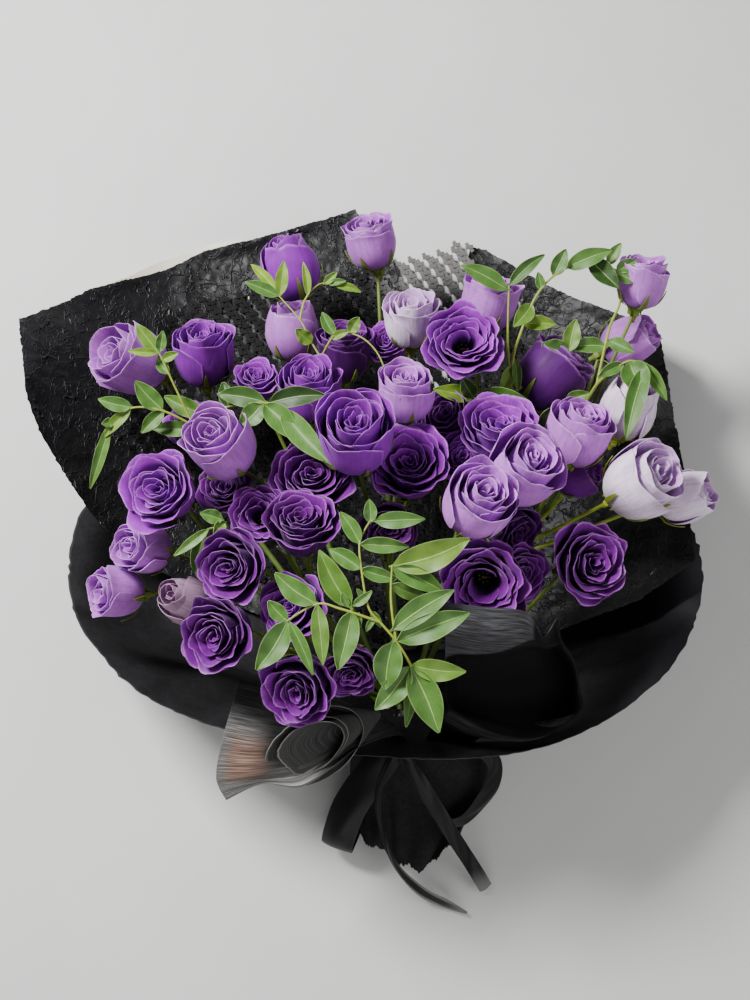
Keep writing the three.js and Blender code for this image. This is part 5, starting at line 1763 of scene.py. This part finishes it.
def lattice_tree() -> Tree:
    """Builds the tree that turns a guide sheet into open lattice: staggered tabs on slanting ribs.

    Returns:
        The tree.
    """
    weave, given = new_group(
        "Lattice", "Geometry",
        {"Geometry": "Geometry", "Across": 0.0066, "Along": 0.0092, "Columns": 70, "Rows": 46, "Turn": 0.3,
         "Slant": 0.4, "Thickness": 0.0007, "Finish": "Material"},
        {"Geometry": "Geometry"},
    )
    across, along, thickness = given["Across"], given["Along"], given["Thickness"]
    grid = weave.add("GeometryNodeMeshGrid", {
        "Size X": weave.times(across, given["Columns"]), "Size Y": weave.times(along, given["Rows"]),
        "Vertices X": given["Columns"], "Vertices Y": given["Rows"],
    })
    # Every other column is shifted by half a cell, and the whole grid slants and turns.
    column = weave.sum("FLOOR", weave.sum("DIVIDE", weave.add("GeometryNodeInputIndex"), given["Rows"]))
    shift = weave.times(weave.sum("MODULO", column, 2.0), 0.5, along)
    spot = weave.add("GeometryNodeInputPosition").outputs[0]
    leaning = weave.times(weave.parts(spot)[1], weave.times(given["Slant"], -1.0))
    moved = {"Geometry": grid, "Offset": weave.vector(leaning, shift)}
    staggered = weave.add("GeometryNodeSetPosition", moved)
    turned = weave.vector(z=given["Turn"])
    laid = weave.add("GeometryNodeTransform",
                     {"Geometry": staggered, "Rotation": turned, "Translation": (-0.03, 0.08, 0.0)})
    # Its points fall on the guide sheet, and those that miss it go.
    cast = weave.add("GeometryNodeRaycast", {
        "Target Geometry": given["Geometry"], "Source Position": weave.vectors("ADD", spot, (0.0, 0.0, 1.0)),
        "Ray Direction": (0.0, 0.0, -1.0), "Ray Length": 2.0,
    }).outputs
    stored = weave.add("GeometryNodeStoreNamedAttribute",
                       {"Geometry": laid, "Name": "facing", "Value": cast["Hit Normal"]},
                       data_type="FLOAT_VECTOR", domain="POINT")
    missed = weave.add("FunctionNodeBooleanMath", {0: cast["Is Hit"]}, operation="NOT")
    kept = weave.add("GeometryNodeDeleteGeometry", {"Geometry": stored, "Selection": missed}, domain="POINT")
    dropped = weave.add("GeometryNodeSetPosition", {"Geometry": kept, "Position": cast["Hit Position"]})
    # Each point gets a cell: a slanting strap with a tab across it.
    strap_size = weave.vector(weave.times(across, 0.48), weave.times(along, 1.12), thickness)
    tab_size = weave.vector(weave.times(across, 1.04), weave.times(along, 0.38), weave.times(thickness, 1.5))
    strap = weave.add("GeometryNodeMeshCube", {"Size": strap_size})
    tab = weave.add("GeometryNodeMeshCube", {"Size": tab_size})
    rotated = {"Geometry": strap, "Rotation": weave.vector(z=given["Slant"])}
    leaned = weave.add("GeometryNodeTransform", rotated)
    tipped = weave.add("GeometryNodeTransform",
                       {"Geometry": tab, "Translation": (0.0, 0.0, 0.0006), "Rotation": (0.1, 0.08, 0.0)})
    aligned = weave.add("FunctionNodeAlignRotationToVector",
                        {"Rotation": turned, "Vector": weave.stored("facing", "FLOAT_VECTOR")}, axis="Z")
    cells = weave.add("GeometryNodeInstanceOnPoints", {
        "Points": weave.add("GeometryNodeMeshToPoints", {"Mesh": dropped}),
        "Instance": weave.joined(leaned, tipped), "Rotation": aligned,
    })
    return weave.ended(cells, given["Finish"])


# The outer wrap's rim as [across, down, height]; a rim point with height 0 lies on the bowl.
RIM = (
    (70, 548, 0), (72, 604, 0), (102, 657, 132), (152, 700, 144), (232, 732, 150), (318, 750, 154),
    (400, 758, 156), (480, 758, 154), (560, 741, 146), (632, 704, 130), (684, 646, 112), (702, 592, 0),
    (700, 545, 0), (672, 500, 0), (610, 470, 0), (500, 450, 0), (375, 445, 0), (260, 450, 0),
    (160, 470, 0), (92, 500, 0),
)
SKIRT_END = (
    (350, 806, 16), (364, 838, 26), (384, 850, 30), (405, 868, 24), (424, 868, 24), (446, 848, 28),
    (466, 822, 26), (476, 804, 14), (464, 820, 3), (440, 838, 1), (402, 848, 1), (370, 838, 1),
)
FLAP_ROWS = (
    ((240, 680, 188), (264, 686, 184), (300, 700, 176), (340, 710, 168), (374, 716, 148), (386, 720, 112),
     (390, 752, 84)),
    ((225, 730, 196), (258, 736, 186), (300, 738, 176), (340, 728, 170), (378, 724, 150), (392, 725, 112),
     (398, 756, 84)),
    ((216, 776, 186), (254, 774, 178), (300, 766, 172), (340, 746, 168), (374, 734, 158), (398, 729, 116),
     (404, 758, 88)),
    ((226, 800, 174), (262, 784, 170), (300, 787, 168), (332, 768, 168), (362, 746, 166), (402, 736, 124),
     (410, 762, 94)),
)
FOLD_ROWS = (
    ((443, 602, 236), (484, 607, 242), (526, 612, 238), (543, 636, 226), (557, 617, 214)),
    ((445, 632, 232), (490, 640, 232), (526, 640, 228), (546, 646, 214), (562, 640, 204)),
    ((446, 664, 206), (490, 672, 202), (536, 676, 196), (560, 670, 190), (575, 662, 186)),
    ((446, 694, 182), (490, 708, 174), (530, 712, 168), (562, 704, 168), (580, 690, 170)),
    ((448, 712, 164), (490, 734, 160), (528, 740, 160), (554, 731, 160), (575, 714, 162)),
    ((432, 728, 120), (446, 734, 118), (462, 737, 118), (478, 736, 120), (490, 732, 124)),
    ((420, 756, 90), (430, 758, 90), (440, 760, 90), (450, 760, 90), (458, 758, 92)),
)


def lofted(rows: tuple, down: int, across: int) -> Array:
    """A smooth grid through rows of picture places.

    Args:
        rows: Rows of [across, down, height], from the top.
        down: How many rows the grid gets.
        across: How many columns it gets.

    Returns:
        The grid, with its front towards the viewer.
    """
    points = SIGHT.seen_at(np.array(rows, float))
    points = np.swapaxes(spline(np.swapaxes(spline(points, down), 0, 1), across), 0, 1)
    return points[::-1]


@dataclass
class Wrap:
    """The sheets that stand up round the stems: the outer wrap, its skirt, the frill and the fold."""

    thickness: float = 0.0006
    columns: int = 240
    rows: int = 38
    skirt_columns: int = 200
    skirt_rows: int = 28
    flap_size: tuple[int, int] = (38, 90)
    roll_points: int = 130
    roll_rows: int = 24
    fold_size: tuple[int, int] = (84, 60)

    def funnel(self) -> Array:
        """The outer wrap's grid, from the back of the neck to the rim.

        Returns:
            Its middle surface, as [row, column, 3].
        """
        rim = np.array(RIM, float)
        held = rim[:, 2] > 0
        points = np.where(held[:, None], SIGHT.seen_at(rim), resting(rim, outside_height))
        edge = spline(points, self.columns, closed=True)
        stands = np.clip(spline(held.astype(float), self.columns, closed=True), 0, 1)
        turn = math.pi - TURN * (np.arange(self.columns) / self.columns + 0.5 / len(RIM))
        ends = TIE.centre[1] - TIE.neck_length / 2, TIE.centre[1] + TIE.neck_length / 2
        rows = [TIE.ring(turn, y) for y in np.linspace(*ends, 6)]
        near = rows.pop()
        pleats = Ripples(0.9, 71, 14)
        for run in np.linspace(0, 1, self.rows) ** 1.15:
            point = mix(near, edge, run)
            x, y = point[:, 0], point[:, 1]
            # The back lies against the bowl, and the front stands free and sags a little.
            against = outside_height(x, y)
            back = against + (near[:, 2] - against) * (1 - run) ** 6
            front = np.maximum(point[:, 2] - 0.012 * math.sin(math.pi * run), against * 0.5)
            point[:, 2] = mix(mix(back, front, stands), point[:, 2], smooth((run - 0.8) / 0.2))
            fine = 0.4 * np.sin(turn * 17 + 2 * run)
            gathered = pleats.at(turn * 0.9, np.full_like(turn, run * 0.1)) * 0.6 + fine
            size = 0.0042 * smooth(run / 0.2) * (1 - 0.7 * run)
            waves = Ripples(0.05, 73).at(x, y) * 0.0016 * run
            point[:, 2] += (gathered * size + waves) * stands
            rows.append(point)
        grid = np.array(rows)
        out = unit(grid[-1] - grid[-4])
        draw = np.random.default_rng(SEED + 3)
        torn = 0.0012 * Ripples(0.06, 75, 14).at(edge[:, 0], edge[:, 1])[:, None]
        grid[-1] += out * (torn + draw.normal(0, 0.0007, (self.columns, 1)))
        grid[-2] += out * torn * 0.6
        grid[..., 2] = np.maximum(grid[..., 2], self.thickness / 2)
        return grid

    def skirt(self) -> Array:
        """The skirt's grid, from the neck to its ragged end.

        Returns:
            Its middle surface, as [row, column, 3].
        """
        count = self.skirt_columns
        ends = spline(SIGHT.seen_at(np.array(SKIRT_END, float)), count, closed=True)
        turn = math.pi - TURN * (np.arange(count) / count + 0.5 / len(SKIRT_END))
        near = TIE.ring(turn, TIE.centre[1] - TIE.neck_length / 2 - 0.4 * MM)
        draw = np.random.default_rng(SEED + 4)
        ragged = 1 + 0.03 * Ripples(0.5, 81, 16).at(turn, turn * 0) + draw.normal(0, 0.008, count)
        rows = []
        for share in np.linspace(0, 1, self.skirt_rows):
            point = mix(near, ends, share * mix(1.0, ragged, share**6)[:, None])
            point[:, 2] = mix(near[:, 2], ends[:, 2], smooth(share * 1.3))
            uneven = Ripples(0.35, 83, 12).at(turn, turn * 0 + share * 0.1)
            pleat = np.sin(turn * 13 + 1.5 * share) * 0.5 + uneven
            point[:, 2] += 0.0028 * pleat * share * (1 - 0.3 * share)
            flare = np.where(np.cos(turn) > 0, 0.044, 0.010) * math.sin(math.pi * share**0.45)
            point[:, 0] += flare * np.cos(turn)
            point[:, 2] = np.maximum(point[:, 2], self.thickness / 2 + 0.0001)
            rows.append(point)
        return np.array(rows)

    def flap(self) -> Array:
        """The flap of the frill, with its fine pleats.

        Returns:
            Its middle surface, as [row, column, 3].
        """
        rows, columns = self.flap_size
        share = np.linspace(0, 1, columns)[None, :]
        down = np.linspace(0, 1, rows)[:, None]
        wave = np.sin(down * 21 + 2.2 * share) * 0.6 + 0.5 * np.sin(down * 47 - 3 * share)
        raised = 0.0016 * wave * (0.3 + 0.7 * np.sin(math.pi * share))
        return lofted(FLAP_ROWS, rows, columns) + SIGHT.to_viewer * raised[..., None]

    def roll(self) -> Array:
        """The roll of the frill: a cone wound twice, whose mouth is open to the viewer.

        Returns:
            Its middle surface, as [row, column, 3].
        """
        apex = SIGHT.seen_at((384, 712, 168))
        mouth_middle, wide, tall = np.array([(311, 747, 186), (31, -15, 4), (9, 21, -15)])
        turn = np.linspace(-0.3, 2.15, self.roll_points) * TURN
        wind = 1 + 0.04 * np.sin(3 * turn + 1) + 0.62 * smooth((turn / math.pi - 1.1) / 3.2)
        around = (np.cos(-turn) * wind)[:, None] * wide + (np.sin(-turn) * wind)[:, None] * tall
        mouth = mouth_middle + around
        mouth[:, 2] -= 16 * (wind - 1)
        noise = np.random.default_rng(SEED + 5).normal(0, 0.004, self.roll_points)
        ragged = 1 + 0.012 * np.sin(turn * 5) + noise
        mouth = mix(apex, SIGHT.seen_at(mouth), ragged[:, None])
        return mix(apex, mouth[None], np.linspace(0.16, 1, self.roll_rows)[:, None, None])

    def fold(self) -> Array:
        """The folded sheet's grid: a turned band at the top over a sunken pocket with a raised rim.

        Returns:
            Its middle surface, as [row, column, 3].
        """
        rows, columns = self.fold_size
        across = np.linspace(0, 1, columns)[None, :]
        down = np.linspace(0, 1, rows)[::-1][:, None]
        top = smooth(1 - down / 0.2)
        ruffle = top * (np.sin(21 * across + 3 * down) * 0.5 + np.sin(47 * across) * 0.2)
        creases = Ripples(0.3, 91, 12).at(across * 0.5, down) * 0.0016 * (1 - top)
        hem = 0.24 - 0.1 * across + 0.012 * np.sin(9 * across)
        pocket = smooth((down - hem) / 0.05) * smooth((0.66 - down) / 0.1)
        pocket = pocket * smooth((0.93 - across) / 0.1) * smooth((across + 0.02) / 0.12)
        rim = hill(down + 0.05 * across, 0.68, 0.014) + hill(across, 0.95, 0.02)
        raised = 0.0008 * ruffle + creases - 0.024 * pocket + 0.0018 * rim
        return lofted(FOLD_ROWS, rows, columns) + SIGHT.to_viewer * raised[..., None]

    def build(self) -> list[Piece]:
        """Makes the four sheets.

        Returns:
            The pieces.
        """
        pieces = []
        for name, slot, finish, closed, grids in (
            ("outer_wrap", "wrap_paper", WRAP_PAPER, True, [self.funnel()]),
            ("wrap_skirt", "wrap_paper", WRAP_PAPER, True, [self.skirt()]),
            ("frill", "fibrous_paper", FRILL_PAPER, False, [self.flap(), self.roll()]),
            ("folded_sheet", "fibrous_paper", FOLD_PAPER, False, [self.fold()]),
        ):
            shells = Shells()
            for rank, grid in enumerate(grids):
                shells.add(grid, self.thickness, 0.5, rank, closed)
            pieces.append(place(name, shells.mesh(name), slot, finish.material()))
        return pieces


@dataclass(frozen=True)
class Ribbon:
    """One strip of ribbon: its widths along it in millimetres and its course as picture places."""

    widths: tuple
    course: tuple


RIBBONS = (
    Ribbon((12, 24, 28, 29, 28, 27, 27, 26, 22, 14), (
        (396, 725, 61.5), (392, 746, 66), (370, 776, 60), (350, 806, 50), (340, 832, 40), (337, 846, 27),
        (341, 838, 14), (354, 810, 10), (374, 780, 20), (392, 754, 42),
    )),
    Ribbon((9, 12, 14, 14, 15, 15, 13, 11), (
        (403, 725, 61.5), (432, 738, 68), (474, 744, 66), (494, 762, 58), (492, 784, 50), (480, 804, 43),
        (462, 820, 37), (440, 826, 32),
    )),
    Ribbon((8, 10, 12, 12, 12, 12), (
        (401, 725, 61.5), (403, 752, 70), (424, 788, 58), (452, 834, 42), (470, 862, 22), (486, 888, 6),
    )),
    Ribbon((6, 7, 5, 4, 5, 9, 10, 1.5), (
        (398, 725, 61.5), (392, 752, 70), (378, 796, 60), (384, 836, 48), (396, 866, 32), (420, 890, 16),
        (444, 903, 8), (467, 913, 5),
    )),
)


@dataclass
class Bow:
    """The ribbon: turns round the neck, a knot, two loops and two tails."""

    thickness: float = 0.0004
    strip_points: int = 90
    strip_columns: int = 11
    ring_points: int = 72
    turn_width: float = 9.5 * MM
    turn_places: tuple[Pair, ...] = ((-0.0028, 0.0013), (0.0030, 0.0017), (0.0002, 0.0024))
    knot_half: tuple[float, float, float] = (7.5 * MM, 10.5 * MM, 4.8 * MM)

    def strip(self, ribbon: Ribbon, number: int) -> Array:
        """One strip's grid.

        Args:
            ribbon: The strip.
            number: Its number, for its waves.

        Returns:
            Its middle surface, with its front upwards.
        """
        count = self.strip_points
        path = spline(SIGHT.seen_at(np.array(ribbon.course, float)), count)
        along = unit(np.gradient(path, axis=0))
        across = unit(np.cross(ABOVE, along))
        for k in range(1, count):
            across[k] = unit(across[k - 1] - along[k] * (across[k - 1] @ along[k]))
        run = np.linspace(0, 1, count)[:, None]
        side = np.linspace(0.5, -0.5, self.strip_columns)[None, :]
        width = spline(np.array(ribbon.widths, float), count)[:, None] * MM
        pinch = np.cos(side * math.pi) * 0.16 * (1 - 0.6 * run) * width
        ripple = 0.0009 * np.sin(run * 19 + side * 5 + number)
        up = unit(np.cross(along, across))
        sideways = across[:, None] * (side * width)[..., None]
        return path[:, None] + sideways + up[:, None] * (pinch + ripple)[..., None]

    def turns(self, shells: Shells) -> None:
        """Adds the turns round the neck and the knot over them.

        Args:
            shells: The mesh under construction.
        """
        angle = np.linspace(0, TURN, self.ring_points, endpoint=False)
        for number, (shift, further) in enumerate(self.turn_places):
            rows = []
            for share in np.linspace(-0.5, 0.5, 7):
                y = TIE.centre[1] + shift + share * self.turn_width + 0.0012 * np.sin(angle + 2 * number)
                rows.append(TIE.ring(-angle, y, further + 0.0006 * math.cos(share * math.pi)))
            shells.add(np.array(rows), self.thickness, 0.2 * number, 0, closed=True)
        length, width, height = self.knot_half
        middle = TIE.centre + ABOVE * (TIE.neck_radius + 5.4 * MM)
        rows = []
        for share in np.linspace(-1, 1, 13):
            bulge = 1 - 0.25 * share**2
            rows.append(points_of(
                middle[0] + share * length,
                middle[1] + width * np.cos(angle) * bulge,
                middle[2] + height * np.sin(angle) * bulge + 0.0005 * np.sin(share * 9),
            ))
        shells.add(np.array(rows), self.thickness, 0.8, 0, closed=True)

    def build(self) -> Piece:
        """Makes the whole ribbon as one piece.

        Returns:
            The piece.
        """
        shells = Shells()
        for number, ribbon in enumerate(RIBBONS):
            shells.add(self.strip(ribbon, number), self.thickness, number / 4, 1.0)
        self.turns(shells)
        return place("ribbon_tie", shells.mesh("ribbon_tie", 70), "satin_ribbon", ribbon_material())


@dataclass(frozen=True)
class PaperFinish:
    """The colours and the relief of a wrapping paper."""

    name: str
    body: Colour
    # The colour of its light places: on most papers painted highlights and painted lit patches, on some a
    # paler edge and mottling.
    light: Colour
    roughness: Pair
    relief: str
    scale: float
    specular: float = 0.4
    banded: bool = False
    warm_body: Colour = srgb(52, 34, 28)
    warm_light: Colour = srgb(196, 144, 118)

    @cache
    def material(self) -> Material:
        """Makes paper with its relief: pressed creases, drawn fibres or a plain grain.

        Returns:
            The material.
        """
        finish = Finish(self.name, roughness=self.roughness[0], specular=self.specular)
        weave = finish.weave
        clouds = finish.clouds(35.0, 0.4)
        shade = weave.span(clouds, 0.3, 0.7, 0.0, 0.45)
        if self.relief == "pressed":
            lit = self.pressed(finish, clouds, shade)
        elif self.relief == "fibrous":
            lit = self.fibrous(finish)
        else:
            lit = self.grained(finish, clouds, shade)
        colour = weave.blend(lit, self.body, self.light)
        if self.relief == "fibrous" and not self.banded:
            across, along = finish.surface_place()
            warm = weave.times(weave.window(across, (0.02, 0.09), (0.27, 0.17)),
                               weave.window(along, (0.18, 0.34), (0.72, 0.55)),
                               weave.span(weave.attribute("rank"), 0.0, 1.0, 0.65, 0.0))
            colour = weave.blend(warm, colour, weave.blend(lit, self.warm_body, self.warm_light))
        finish.feed({"Base Color": colour})
        return finish.material

    def pressed(self, finish: Finish, clouds: Node, shade: Socket) -> Socket:
        """Presses creases into the paper and paints highlights on their ridges.

        Args:
            finish: The material under construction.
            clouds: Its soft clouds.
            shade: How light they make it.

        Returns:
            Where it is light: painted highlights on the creases, and lighter along its edge and on its torn
                left end.
        """
        weave = finish.weave
        where = finish.object_place()
        creases = finish.group(creases_group(), {"Vector": where, "Scale": self.scale, "Bend": 1.6})
        ridge = creases.outputs["Ridge"]
        finish.bump(ridge, 0.8, 0.0016)
        finish.feed({"Roughness": weave.span(ridge, 0.0, 1.0, *self.roughness)})
        # Painted highlights: the crease ridges take the light colour.
        lit = weave.scaled(ridge, 0.55, weave.times(shade, 0.5), clamp=True)
        edge = weave.span(weave.attribute("rim"), 0.0, 0.0012, 0.8, 0.0)
        left_end = weave.span(weave.parts(where)[0], -0.276, -0.288, 0.0, 3.0)
        return weave.most(lit, edge, weave.times(left_end, weave.span(clouds, 0.42, 0.56)))

    def fibrous(self, finish: Finish) -> Socket:
        """Draws fibres over the sheet, and paints light on it.

        Args:
            finish: The material under construction.

        Returns:
            Where it is light: painted light, broken by the fibres.
        """
        weave = finish.weave
        across, along = finish.surface_place()
        inputs = {"Along": across, "Across": along, "Count": self.scale, "Length": 5.0}
        fibres = finish.group(veins_group(), inputs)
        finish.bump(fibres, 0.8, 0.0012)
        finish.feed({"Roughness": weave.span(fibres, 0.3, 0.7, *self.roughness)})
        lighting = self.fold_light if self.banded else self.frill_light
        return weave.times(weave.span(fibres, 0.35, 0.75, 0.15, 1.0), lighting(weave, across, along))

    def grained(self, finish: Finish, clouds: Node, shade: Socket) -> Socket:
        """Gives the paper a plain grain.

        Args:
            finish: The material under construction.
            clouds: Its soft clouds.
            shade: How light they make it.

        Returns:
            Where it is light: at its edge, a painted sheen on the outer wrap's lower lip, and a painted lit
                patch on the lattice's flange.
        """
        weave = finish.weave
        grain = finish.clouds(self.scale, 0.6)
        finish.bump(grain, 0.6, 0.0012)
        finish.feed({"Roughness": weave.span(grain, 0.3, 0.7, *self.roughness)})
        # Painted light: the flange beyond the back sheets is lit grey, and elsewhere the lattice stays near
        # black.
        if self.relief == "lattice":
            x, y, _ = weave.parts(finish.object_place())
            flange = weave.times(weave.span(y, 0.2, 0.24), weave.span(x, -0.01, 0.02))
            return weave.most(weave.times(shade, 0.06), flange)
        around, along = finish.surface_place()
        ragged = weave.scaled(clouds, 0.006, 0.9905)
        edge = weave.span(weave.sum("SUBTRACT", along, ragged), 0.0, 0.003, 0.0, 0.85)
        if self.relief == "plain":
            return weave.most(shade, edge)
        # Painted sheen: a lighter band inside the front of the outer wrap, near its rim, where the light
        # falls.
        lip = weave.times(weave.window(around, (0.36, 0.5), (0.7, 0.6)), weave.span(along, 0.8, 0.98))
        return weave.most(weave.times(shade, 0.6), edge, lip)

    @staticmethod
    def fold_light(weave: Weave, across: Socket, along: Socket) -> Socket:
        """Where the folded sheet is light: painted light along its turned band, and its hem and its edge.

        Args:
            weave: The material's nodes.
            across: The place across the sheet.
            along: The place along it.

        Returns:
            How light it is.
        """
        # Painted light: the turned band is lit down to a sharp lower edge and stops short of the shaded curl
        # at its right end.
        tilted = weave.scaled(across, -0.26, along)
        lit = weave.span(tilted, 0.69, 0.705, 0.02, 0.9)
        band = weave.times(lit, weave.span(across, 0.62, 0.56, 0.05, 1.0))
        hem = weave.window(along, (0.22, 0.27), (0.36, 0.31))
        edge = weave.span(along, 0.985, 0.995, 0.0, 0.6)
        return weave.sum("ADD", weave.scaled(hem, 0.35, band), edge, clamp=True)

    @staticmethod
    def frill_light(weave: Weave, across: Socket, along: Socket) -> Socket:
        """Where the frill is light: a painted lit patch on the silver fibres of its flap's outer and lower
        corner, and on its roll's rim.

        Args:
            weave: The material's nodes.
            across: The place across the sheet.
            along: The place along it.

        Returns:
            How light it is.
        """
        # Painted light: the flap's outer and lower corners, towards the key light, take the light colour.
        outer = weave.times(weave.span(across, 0.26, 0.08), weave.span(along, 0.85, 0.6))
        lower = weave.times(weave.span(across, 0.62, 0.25), weave.span(along, 0.4, 0.12))
        flap = weave.scaled(weave.most(outer, lower), 1.0, 0.12, clamp=True)
        rim = weave.span(along, 0.97, 0.995, 0.2, 1.0)
        rank = weave.attribute("rank")
        on_flap = weave.times(flap, weave.sum("SUBTRACT", 1.0, rank))
        return weave.sum("ADD", on_flap, weave.times(rim, rank), clamp=True)


# The wrap's light colour serves its mottling, its pale torn rim and a painted sheen inside its front.
WRAP_PAPER = PaperFinish("matte wrapping paper", srgb(10, 10, 11), srgb(56, 56, 60), (0.62, 0.82), "wrap",
                         260.0, 0.25)
# The embossed paper's light colour is the painted highlight on its creases.
EMBOSSED_PAPER = PaperFinish("embossed paper", srgb(6, 6, 7), srgb(34, 34, 38), (0.56, 0.36), "pressed",
                             150.0, 0.45)
# The frill's light colour is its silver fibres where painted light falls on them.
FRILL_PAPER = PaperFinish("fibrous paper", srgb(12, 12, 14), srgb(168, 166, 162), (0.5, 0.66), "fibrous",
                          150.0, 0.25)
# The folded paper's near-black body is partly painted shade in its pocket; its light colour is the painted
# light on its band.
FOLD_PAPER = PaperFinish("fibrous paper, folded", srgb(5, 5, 6), srgb(96, 96, 100), (0.62, 0.76), "fibrous",
                         210.0, 0.12, True)
BACKING_PAPER = PaperFinish("backing paper", srgb(240, 233, 212), srgb(250, 246, 232), (0.7, 0.85), "plain",
                            300.0)
# The lattice's near-black body is partly its own colour and partly painted shade among the heads; its light
# colour is a painted sunlit patch on the flange.
LATTICE_PAPER = PaperFinish(
    "lattice", srgb(6, 6, 7), srgb(112, 110, 108), (0.45, 0.65), "lattice", 420.0, 0.2
)


def ribbon_material() -> Material:
    """Makes the satin of the ribbon: near black, with fine threads, woven edges, and painted highlights on
    its ends and along its last strip.

    Returns:
        The material.
    """
    finish = Finish("satin", roughness=0.36, specular=0.22, sheen=0.02)
    weave = finish.weave
    across, along = finish.surface_place()
    threads = finish.group(veins_group(), {"Along": along, "Across": across, "Count": 46.0, "Length": 3.0})
    off = weave.off_middle(across)
    woven_edge = weave.span(off, 0.455, 0.475, 0.0, 0.35)
    lit = weave.most(weave.span(threads, 0.4, 0.8, 0.0, 0.15), woven_edge)
    # Painted highlights: the strips' ends, and a silver streak along the last strip, take a light grey.
    end = weave.times(weave.span(along, 0.84, 0.98), weave.attribute("rank"))
    last_strip = weave.span(weave.attribute("chance"), 0.6, 0.7)
    painted_silver_highlight = weave.times(last_strip, weave.span(along, 0.5, 0.7), weave.span(off, 0.2, 0.4))
    colour = weave.blend(lit, srgb(6, 6, 7), srgb(42, 42, 46))
    finish.feed({
        "Base Color": weave.blend(weave.times(weave.most(end, painted_silver_highlight), 0.7), colour, srgb(128, 127, 124)),
        "Roughness": weave.span(threads, 0.3, 0.7, 0.32, 0.46),
    })
    finish.bump(threads, 0.25, 0.0004)
    return finish.material


def heart_material() -> Material:
    """Makes the tissue of the stamens and the pistil: greenish yellow with a soft grain.

    Returns:
        The material.
    """
    finish = Finish("stamens and pistil", roughness=0.5)
    share = finish.weave.span(finish.clouds(500.0, 0.5), 0.35, 0.65)
    finish.feed({"Base Color": finish.weave.blend(share, srgb(52, 62, 28), srgb(104, 104, 48))})
    return finish.material


def floor_material() -> Material:
    """Makes the pale floor's finish.

    Returns:
        The material.
    """
    finish = Finish("pale floor", roughness=0.75, specular=0.2)
    share = finish.weave.span(finish.clouds(3.0, 0.2), 0.3, 0.7)
    finish.feed({"Base Color": finish.weave.blend(share, srgb(206, 206, 204), srgb(212, 212, 210))})
    return finish.material


def heart_piece(title: str, head: Head, finish: Material) -> Piece:
    """Makes the stamens and the pistil of an open head.

    Args:
        title: The head's name.
        head: The head.
        finish: Their material.

    Returns:
        The piece.
    """
    spot = bpy.data.meshes.new("hearts")
    spot.from_pydata([(head.foot + head.facing * 4 * MM).tolist()], [], [])
    way = spot.attributes.new("facing", "FLOAT_VECTOR", "POINT")
    way.data.foreach_set("vector", head.facing.astype(np.float32))
    values = {"Height": head.depth * 0.2, "Finish": finish}
    return grown(place(f"{title}_heart", spot, head.tone.value), stamen_tree(), values)


def head_pieces() -> list[Piece]:
    """Makes a piece for each head, or for each group of heads that are pressed together.

    Returns:
        The pieces, in the order of the table.
    """
    tissue = {finish.tone: finish.material() for finish in PETAL_FINISHES}
    heart = heart_material()
    pieces = []
    for number, (node, heads) in enumerate(head_nodes().items()):
        parts = []
        for order, head in enumerate(sorted(heads, key=lambda head: -head.height)):
            shells = Bloom(head).build(np.random.default_rng(SEED + 100 * number + order))
            title = f"{node}_{order}" if order else node
            parts.append(place(title, shells.mesh(title, 70), head.tone.value, tissue[head.tone]))
            if head.form is Form.OPEN:
                parts.append(heart_piece(title, head, heart))
        pieces.append(joined(parts) if len(parts) > 1 else parts[0])
    return pieces


def green_pieces() -> list[Piece]:
    """Makes the stems and the leafy sprays."""
    return [Stems().build(), *(Spray(name, **row).build() for name, row in SPRAYS_TABLE.items())]


def paper_pieces() -> list[Piece]:
    """Makes the sheets, the lattice and the ribbon.

    Returns:
        The pieces.
    """
    values = {"Turn": math.radians(14), "Slant": 0.42, "Finish": LATTICE_PAPER.material()}
    lattice = grown(BOWL_SHEETS["mesh_lining"].build(), lattice_tree(), values)
    return [
        BOWL_SHEETS["backing"].build(BACKING_PAPER.material()),
        BOWL_SHEETS["back_sheet_right"].build(EMBOSSED_PAPER.material()),
        BOWL_SHEETS["back_sheet_left"].build(EMBOSSED_PAPER.material()),
        lattice,
        *Wrap().build(),
        Bow().build(),
    ]


# Each area light: its name, its place, its size and its power.
LIGHTS = (
    ("key", (-0.95, 0.7, 1.35), 0.5, 68.0),
    ("fill", (1.2, -0.5, 1.2), 1.2, 9.0),
    ("front", (0.1, -1.5, 0.9), 1.2, 7.0),
)


def stage(floor_half: float = 12.0) -> None:
    """Sets the floor, the lights and the camera.

    Args:
        floor_half: Half the width of the floor.
    """
    mesh = bpy.data.meshes.new("floor")
    corners = [(x * floor_half, y * floor_half, 0) for x, y in ((-1, -1), (1, -1), (1, 1), (-1, 1))]
    mesh.from_pydata(corners, [], [(0, 1, 2, 3)])
    mesh.materials.append(floor_material())
    stood("floor", mesh)
    world = bpy.data.worlds.new("studio")
    world.use_nodes = True
    background = world.node_tree.nodes["Background"]
    background.inputs["Color"].default_value = srgb(214, 214, 216)
    background.inputs["Strength"].default_value = 0.33
    bpy.context.scene.world = world
    aim = Vector((0, 0, 0.12))
    for name, spot, size, power in LIGHTS:
        light = bpy.data.lights.new(name, "AREA")
        light.size, light.energy = size, power
        lamp = stood(name, light)
        lamp.location = spot
        lamp.rotation_euler = (aim - Vector(spot)).to_track_quat("-Z", "Y").to_euler()
    lens = bpy.data.cameras.new("camera")
    lens.sensor_fit, lens.sensor_height, lens.lens = "VERTICAL", 36.0, 67.5
    camera = stood("camera", lens)
    camera.location = SIGHT.viewer
    camera.rotation_euler = (math.pi / 2 - SIGHT.elevation, 0, 0)
    bpy.context.scene.camera = camera


def main() -> None:
    """Builds the scene and hands it over."""
    logging.basicConfig(level=logging.INFO, format="%(message)s")
    for piece in [*paper_pieces(), *green_pieces(), *head_pieces()]:
        handed_over(piece)
    stage()


if __name__ == "__main__":
    main()
